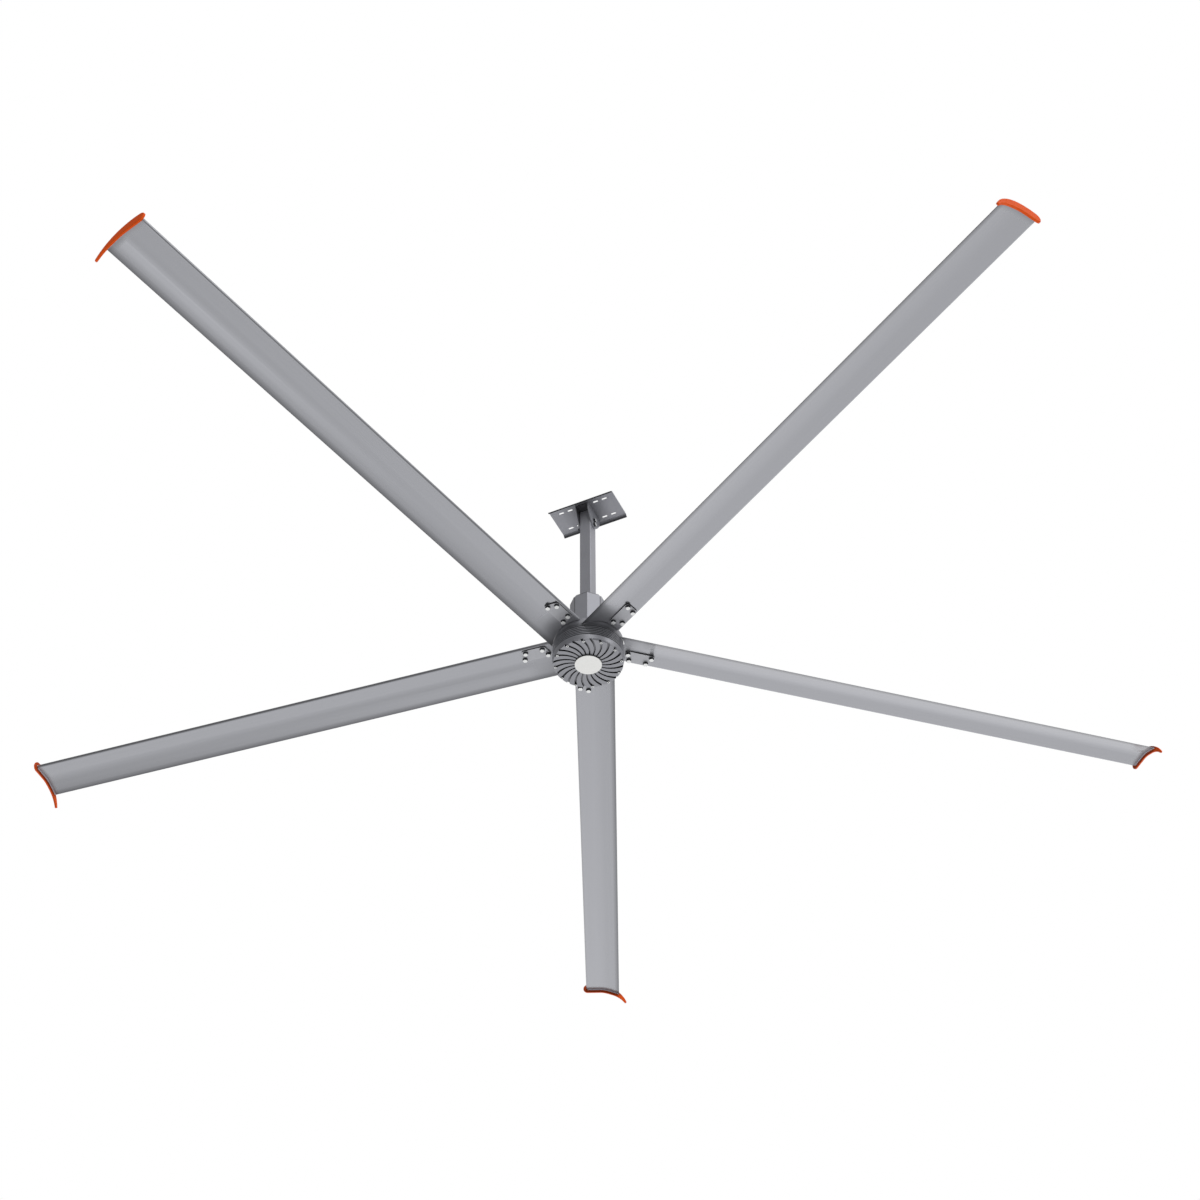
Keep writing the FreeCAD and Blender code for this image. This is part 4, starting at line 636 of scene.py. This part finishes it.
class FAN_OT_tips(bpy.types.Operator):
    """Make the end plugs with their shallow skirts, and finish them and the tip caps"""
    bl_idname = "fan.tips"
    bl_label = "Tips"

    def execute(self, context):
        finishes = context.scene.fan_finishes
        layout = context.scene.fan_layout
        nylon = moulded_plastic("blue_grey_moulded_nylon", finishes.plug, 0.55, 2.0)
        for k in BLADES:
            self.end_plug(k, blade_turn(layout, k), layout, nylon)
        dress(moulded_plastic("orange_moulded_abs", finishes.cap, 0.50, 2.5, shine=0.1, shade_and_seam_mask=hub_side_shade),
              *numbered("tip_cap"))
        return {"FINISHED"}

    def end_plug(self, k, turn, layout, nylon):
        """Make one end plug from its solid, with its skirt drawn up towards the blade."""
        bm = bmesh.new()
        bm.from_mesh(NODES["tip_plug_%d" % k].data)
        bmesh.ops.remove_doubles(bm, verts=bm.verts, dist=0.01 * MM)
        bmesh.ops.recalc_face_normals(bm, faces=bm.faces)
        out = Vector((math.cos(turn), math.sin(turn), 0))
        start = max(v.co.dot(out) for v in bm.verts) - layout.plug_flange - 0.1 * MM
        below = [f for f in bm.faces if f.normal.z < -0.5 and f.calc_center_median().dot(out) > start]
        skirt = {v for f in below for v in f.verts if v.co.dot(out) > start}
        bmesh.ops.translate(bm, verts=list(skirt), vec=(0, 0, layout.plug_lift))
        mesh = to_mesh(bm, "end_plug_%d" % k)
        mesh.materials.append(nylon)
        piece = bpy.data.objects.new("end_plug_%d" % k, mesh)
        bpy.context.collection.objects.link(piece)
        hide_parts("tip_plug_%d" % k)
        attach(piece, "rotor")


def spin_body(bm, profile, steps=32):
    """Turn a profile of (radius, height) points about Z."""
    old = set(bm.verts)
    points = [bm.verts.new((r, 0, z)) for r, z in profile]
    edges = [bm.edges.new(pair) for pair in zip(points, points[1:])]
    bmesh.ops.spin(bm, geom=points + edges, cent=(0, 0, 0), axis=(0, 0, 1), angle=math.tau, steps=steps,
                   use_merge=True)
    bmesh.ops.remove_doubles(bm, verts=[v for v in bm.verts if v not in old], dist=WELD)


def cut_hexagon(bm, across):
    """Cut six flats on a turned body, so that its bevelled top leaves the arcs of a real bolt head."""
    for k in range(6):
        out = Vector((math.cos(math.radians(60 * k)), math.sin(math.radians(60 * k)), 0))
        bmesh.ops.bisect_plane(bm, geom=bm.verts[:] + bm.edges[:] + bm.faces[:], dist=WELD,
                               plane_co=out * (across / 2), plane_no=out, clear_outer=True)
        bmesh.ops.holes_fill(bm, edges=[e for e in bm.edges if e.is_boundary], sides=0)


def head_profile(layout, across, high, bore):
    """Return the profiles of a flange and of the round body that a hexagon is cut from."""
    corner = across / math.sqrt(3) * 1.02   # just past the hexagon's corners
    flat = across / 2
    bevel = (corner - flat) * math.tan(HEAD_BEVEL)
    foot = 0.1 * high                       # hexagon's lower end, inside the flange
    flange = layout.bolt_flange
    skirt = [(bore, 0), (flange, 0), (flange, 0.4 * FLANGE_RISE), (flange * 0.97, 0.5 * FLANGE_RISE),
             (flat, FLANGE_RISE), (bore, FLANGE_RISE)]
    hexagon = [(bore, foot), (corner, foot), (corner, high - bevel), (flat, high)]
    if bore:
        lead = 0.14 * bore
        hexagon += [(bore + lead, high), (bore, high - lead), (bore, foot)]
        skirt.append((bore, 0))
    else:
        hexagon.append((0, high))
    return skirt, hexagon


def shank_profile(layout, reach, threaded):
    """Return the profile of a shank that hangs below z = 0, its lower part threaded."""
    radius = layout.bolt_radius
    pitch = layout.thread_pitch
    root = radius - THREAD_DEPTH * pitch
    profile = [(0, -reach), (root, -reach)]
    turns = int(threaded / pitch)
    for k in range(turns):
        profile += [(root, pitch * (k + 0.1) - reach), (radius, pitch * (k + 0.5) - reach),
                    (root, pitch * (k + 0.9) - reach)]
    return profile + [(radius, pitch * (turns + 0.5) - reach), (radius, 0), (0, 0)]


def screw_profile(radius, tail, head):
    """Return the profile of a screw, from the end of its tail to the edge of the socket in its head."""
    return [(0, tail), (radius, tail), (radius, 0)] + [(r * MM, z * MM) for r, z in head]


def shade_head_sides(bm):
    """Give the end of a fastener's head the first finish, and the rest of it the second, a dark zinc that
    paints shade on the head's sides.
    """
    bmesh.ops.recalc_face_normals(bm, faces=bm.faces)
    top = max(v.co.z for v in bm.verts)
    for face in bm.faces:
        bright = face.normal.z > 0.5 and face.calc_center_median().z > 0.5 * top
        face.material_index = 0 if bright else 1


def flanged_bolt(layout, across, high, reach, threaded=0.0):
    """Model a flanged hexagon bolt that stands on z = 0 and return its mesh."""
    bm = bmesh.new()
    skirt, hexagon = head_profile(layout, across, high, 0)
    spin_body(bm, hexagon)
    cut_hexagon(bm, across)
    spin_body(bm, skirt)
    spin_body(bm, shank_profile(layout, reach, threaded), 24)
    shade_head_sides(bm)
    return to_mesh(bm, "flanged_bolt")


def flanged_nut(layout):
    """Model a flanged hexagon nut that stands on z = 0 and return its mesh."""
    bm = bmesh.new()
    bore = layout.bolt_radius + 0.1 * MM
    skirt, hexagon = head_profile(layout, layout.bolt_hex, layout.bolt_height, bore)
    spin_body(bm, hexagon)
    cut_hexagon(bm, layout.bolt_hex)
    spin_body(bm, skirt)
    shade_head_sides(bm)
    return to_mesh(bm, "flanged_nut")


def socket_screw(profile, across, depth):
    """Model a screw from its profile, with a hexagon socket sunk in its head, and return its mesh."""
    bm = bmesh.new()
    spin_body(bm, profile, 24)
    top = profile[-1][1]
    rim = [e for e in bm.edges if e.is_boundary]
    ring = bmesh.ops.extrude_edge_only(bm, edges=rim)["geom"]
    for vert in [v for v in ring if isinstance(v, bmesh.types.BMVert)]:
        turn = math.atan2(vert.co.y, vert.co.x)
        reach = across / 2 / math.cos((turn % math.radians(60)) - math.radians(30))
        vert.co = (reach * math.cos(turn), reach * math.sin(turn), top)
    mouth = [e for e in ring if isinstance(e, bmesh.types.BMEdge)]
    floor = bmesh.ops.extrude_edge_only(bm, edges=mouth)["geom"]
    sunk = [v for v in floor if isinstance(v, bmesh.types.BMVert)]
    bmesh.ops.translate(bm, verts=sunk, vec=(0, 0, -depth))
    bmesh.ops.holes_fill(bm, edges=[e for e in bm.edges if e.is_boundary], sides=0)
    shade_head_sides(bm)
    return to_mesh(bm, "socket_screw")


def to_mesh(bm, name):
    """Turn a bmesh into a mesh with outward faces, smooth where it is round and sharp at its corners."""
    bmesh.ops.recalc_face_normals(bm, faces=bm.faces)
    for face in bm.faces:
        face.smooth = True
    mesh = bpy.data.meshes.new(name)
    bm.to_mesh(mesh)
    bm.free()
    mesh.set_sharp_from_angle(angle=SHARP)
    return mesh


def place_copies(name, mesh, places, node, body):
    """Set copies of a mesh at given places as one piece that stands for a node and rides on a body."""
    bm = bmesh.new()
    for place in places:
        bm.from_mesh(mesh)
        bm.verts.ensure_lookup_table()
        bmesh.ops.transform(bm, matrix=place, verts=bm.verts[-len(mesh.vertices):])
    whole = bpy.data.meshes.new(name)
    bm.to_mesh(whole)
    bm.free()
    whole.set_sharp_from_angle(angle=SHARP)
    # The second finish, the dark zinc, is painted shade on the heads' sides.
    for finish in ("bright_zinc_plating", "painted_shade_zinc_plating"):
        whole.materials.append(bpy.data.materials[finish])
    piece = bpy.data.objects.new(name, whole)
    bpy.context.collection.objects.link(piece)
    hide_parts(node)
    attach(piece, body)


def blade_places(layout, spots, height, flip):
    """Return where bolts stand on every blade, from their places along and across one blade."""
    places = []
    for k in BLADES:
        turn = Matrix.Rotation(blade_turn(layout, k), 4, "Z")
        for along, across in spots:
            places.append(turn @ Matrix.Translation((along, across, height)) @ flip)
    return places


class FAN_OT_flanged_bolts(bpy.types.Operator):
    """Model the flanged bolts of the blades and struts, and the column's cross bolts with their nuts"""
    bl_idname = "fan.flanged_bolts"
    bl_label = "Flanged bolts"

    def execute(self, context):
        layout = context.scene.fan_layout
        finishes = context.scene.fan_finishes
        dress(zinc_plating("bright_zinc_plating", finishes.zinc, 0.42), "flange_bolts")
        # Dark zinc for the heads' sides, as painted shade.
        zinc_plating("painted_shade_zinc_plating", finishes.painted_shade_zinc, 0.40)
        self.clamp_bolts(layout)
        self.root_bolts(layout)
        self.cross_bolts(layout)
        return {"FINISHED"}

    def clamp_bolts(self, layout):
        """Stand four bolts head down under each blade's clamp plate."""
        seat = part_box("clamp_plate_1")[0][2]
        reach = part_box("strut_1")[1][2] - seat
        middle = layout.clamp_middle
        spots = [(middle + side * layout.aft_spacing / 2, layout.aft_row) for side in (-1, 1)]
        spots += [(middle + side * layout.fore_spacing / 2, layout.fore_row) for side in (-1, 1)]
        places = blade_places(layout, spots, seat, Matrix.Rotation(math.pi, 4, "X"))
        bolt = flanged_bolt(layout, layout.clamp_hex, layout.clamp_height, reach)
        place_copies("clamp_bolts", bolt, places, "blade_bolts", "rotor")

    def root_bolts(self, layout):
        """Stand four bolts on the root of each strut."""
        low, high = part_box("strut_1")
        radii = (layout.root_inner, layout.root_outer)
        spots = [(radius, row) for radius in radii for row in (layout.aft_row, layout.fore_row)]
        places = blade_places(layout, spots, high[2], Matrix.Identity(4))
        bolt = flanged_bolt(layout, layout.bolt_hex, layout.bolt_height, high[2] - low[2] + ROOT_GRIP)
        place_copies("root_bolts", bolt, places, "strut_bolts", "rotor")

    def cross_bolts(self, layout):
        """Pass two bolts through the saddle and two through the socket, with a nut on each."""
        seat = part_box("saddle")[1][0]
        tail = layout.bolt_height + layout.bolt_show
        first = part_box("ceiling_plate")[1][2] - SADDLE_DROP
        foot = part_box("motor_socket")[0][2] + SOCKET_RISE
        heights = (first, first - CROSS_SPACING, foot, foot + CROSS_SPACING)
        bolt = flanged_bolt(layout, layout.bolt_hex, layout.bolt_height, 2 * seat + tail, tail)
        quarter = math.pi / 2
        heads = [Matrix.Translation((seat, 0, z)) @ Matrix.Rotation(quarter, 4, "Y") for z in heights]
        nuts = [Matrix.Translation((-seat, 0, z)) @ Matrix.Rotation(-quarter, 4, "Y") for z in heights]
        place_copies("cross_bolts", bolt, heads, "column_bolts", "column")
        place_copies("cross_nuts", flanged_nut(layout), nuts, "column_nuts", "column")


class FAN_OT_screws(bpy.types.Operator):
    """Model the cover's long socket screws and the shroud's small ones"""
    bl_idname = "fan.screws"
    bl_label = "Screws"

    def execute(self, context):
        self.cover_screws(context.scene.fan_layout)
        self.shroud_screws()
        return {"FINISHED"}

    def cover_screws(self, layout):
        """Stand twelve long screws head down round the cover's rim."""
        low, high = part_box("tie_bolts")
        seat = low[2] + COVER_SCREW_HEAD[-1][1] * MM
        profile = screw_profile(4 * MM, seat - high[2], COVER_SCREW_HEAD)
        first = layout.blade_angle + layout.tie_angle
        flip = Matrix.Translation((layout.tie_circle, 0, seat)) @ Matrix.Rotation(math.pi, 4, "X")
        places = [Matrix.Rotation(first + math.radians(30 * k), 4, "Z") @ flip for k in range(12)]
        screw = socket_screw(profile, 6 * MM, 3 * MM)
        place_copies("cover_screws", screw, places, "tie_bolts", "rotor")

    def shroud_screws(self):
        """Set eight small screws round the shroud's foot."""
        low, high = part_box("shroud_screws")
        seat = high[0] - SHROUD_SCREW_HEAD[-1][1] * MM
        profile = screw_profile(2.5 * MM, -14 * MM, SHROUD_SCREW_HEAD)
        middle = (low[2] + high[2]) / 2
        out = Matrix.Translation((seat, 0, middle)) @ Matrix.Rotation(math.pi / 2, 4, "Y")
        places = [Matrix.Rotation(math.radians(45 * k), 4, "Z") @ out for k in range(8)]
        screw = socket_screw(profile, 3 * MM, 1.6 * MM)
        place_copies("foot_screws", screw, places, "shroud_screws", "column")


class FAN_OT_stage(bpy.types.Operator):
    """Set up the camera, the pale floor and the soft light"""
    bl_idname = "fan.stage"
    bl_label = "Stage"

    def execute(self, context):
        stage = context.scene.fan_stage
        self.place_camera(context, stage)
        self.lay_floor(stage)
        self.light_room(context, stage)
        return {"FINISHED"}

    def place_camera(self, context, stage):
        """Stand the camera where the photograph was taken from."""
        level = math.cos(stage.pitch)
        forward = Vector((-math.sin(stage.yaw) * level, math.cos(stage.yaw) * level, math.sin(stage.pitch)))
        right = Vector((math.cos(stage.yaw), math.sin(stage.yaw), 0))
        up = right.cross(forward)
        lean = Matrix.Rotation(-stage.roll, 3, forward)
        axes = Matrix((lean @ right, lean @ up, -forward)).transposed()
        data = bpy.data.cameras.new("camera")
        data.lens = stage.lens
        data.sensor_width = SENSOR
        data.clip_end = 1000
        camera = bpy.data.objects.new("camera", data)
        camera.matrix_world = Matrix.Translation(stage.camera_place) @ axes.to_4x4()
        context.collection.objects.link(camera)
        context.scene.camera = camera

    def lay_floor(self, stage):
        """Lay the pale floor well below the fan, where it changes neither its light nor its reflections."""
        mesh = bpy.data.meshes.new("floor")
        bm = bmesh.new()
        bmesh.ops.create_grid(bm, x_segments=8, y_segments=8, size=FLOOR_REACH)
        bmesh.ops.translate(bm, verts=bm.verts, vec=(0, 0, stage.floor_height))
        bm.to_mesh(mesh)
        bm.free()
        floor = bpy.data.objects.new("floor", mesh)
        bpy.context.collection.objects.link(floor)
        mesh.materials.append(moulded_plastic("pale_floor_paint", linear("F8F8F6"), 0.7, 300))
        floor.visible_diffuse = False
        floor.visible_glossy = False
        floor.visible_shadow = False

    def light_room(self, context, stage):
        """Light the fan from all round with soft lights, and let the camera see plain white behind it."""
        world = bpy.data.worlds.new("studio")
        world.use_nodes = True
        tree = world.node_tree
        tree.nodes.clear()
        side = put(tree, "ShaderNodeTexCoord").outputs["Generated"]
        level = stage.room_light
        for turn, lift, narrow, strength in SOFT_LIGHTS:
            turn = math.radians(turn) + stage.yaw
            lift = math.radians(lift)
            axis = (math.cos(lift) * math.cos(turn), math.cos(lift) * math.sin(turn), math.sin(lift))
            facing = put(tree, "ShaderNodeVectorMath", {0: side, 1: axis}, operation="DOT_PRODUCT")
            ahead = put(tree, "ShaderNodeMath", {0: facing.outputs["Value"], 1: 0.0}, operation="MAXIMUM")
            glow = put(tree, "ShaderNodeMath", {0: ahead.outputs["Value"], 1: narrow}, operation="POWER")
            added = put(tree, "ShaderNodeMath",
                        {0: glow.outputs["Value"], 1: strength * stage.soft_light, 2: level},
                        operation="MULTIPLY_ADD")
            level = added.outputs["Value"]
        fill = put(tree, "ShaderNodeBackground", {"Color": (1, 1, 1, 1), "Strength": level})
        white = put(tree, "ShaderNodeBackground", {"Color": (1, 1, 1, 1), "Strength": 1.0})
        ray = put(tree, "ShaderNodeLightPath")
        both = put(tree, "ShaderNodeMixShader",
                   {0: ray.outputs["Is Camera Ray"], 1: fill.outputs["Background"],
                    2: white.outputs["Background"]})
        put(tree, "ShaderNodeOutputWorld", {"Surface": both.outputs["Shader"]})
        context.scene.world = world
        context.scene.view_settings.view_transform = "Standard"


class FAN_PT_panel(bpy.types.Panel):
    """List the fan's operators and settings in the sidebar"""
    bl_idname = "FAN_PT_panel"
    bl_label = "Ceiling fan"
    bl_space_type = "VIEW_3D"
    bl_region_type = "UI"
    bl_category = "Fan"

    def draw(self, context):
        for operator in OPERATORS:
            self.layout.operator(operator.bl_idname)
        for group in (context.scene.fan_finishes, context.scene.fan_layout, context.scene.fan_stage):
            for key in group.__annotations__:
                self.layout.prop(group, key)


OPERATORS = (FAN_OT_column, FAN_OT_motor, FAN_OT_inner_parts, FAN_OT_blades, FAN_OT_tips,
             FAN_OT_flanged_bolts, FAN_OT_screws, FAN_OT_stage)
GROUPS = {"fan_finishes": FanFinishes, "fan_layout": FanLayout, "fan_stage": FanStage}


def register():
    """Register the groups, operators and panel."""
    for name, group in GROUPS.items():
        bpy.utils.register_class(group)
        setattr(bpy.types.Scene, name, bpy.props.PointerProperty(type=group))
    for item in OPERATORS + (FAN_PT_panel,):
        bpy.utils.register_class(item)


def unregister():
    """Take everything out again."""
    for item in reversed(OPERATORS + (FAN_PT_panel,)):
        bpy.utils.unregister_class(item)
    for name, group in GROUPS.items():
        delattr(bpy.types.Scene, name)
        bpy.utils.unregister_class(group)


def main():
    """Dress the fan and set the stage."""
    register()
    bpy.ops.fan.column()
    bpy.ops.fan.motor()
    bpy.ops.fan.inner_parts()
    bpy.ops.fan.blades()
    bpy.ops.fan.tips()
    bpy.ops.fan.flanged_bolts()
    bpy.ops.fan.screws()
    bpy.ops.fan.stage()


if __name__ == "__main__":
    main()
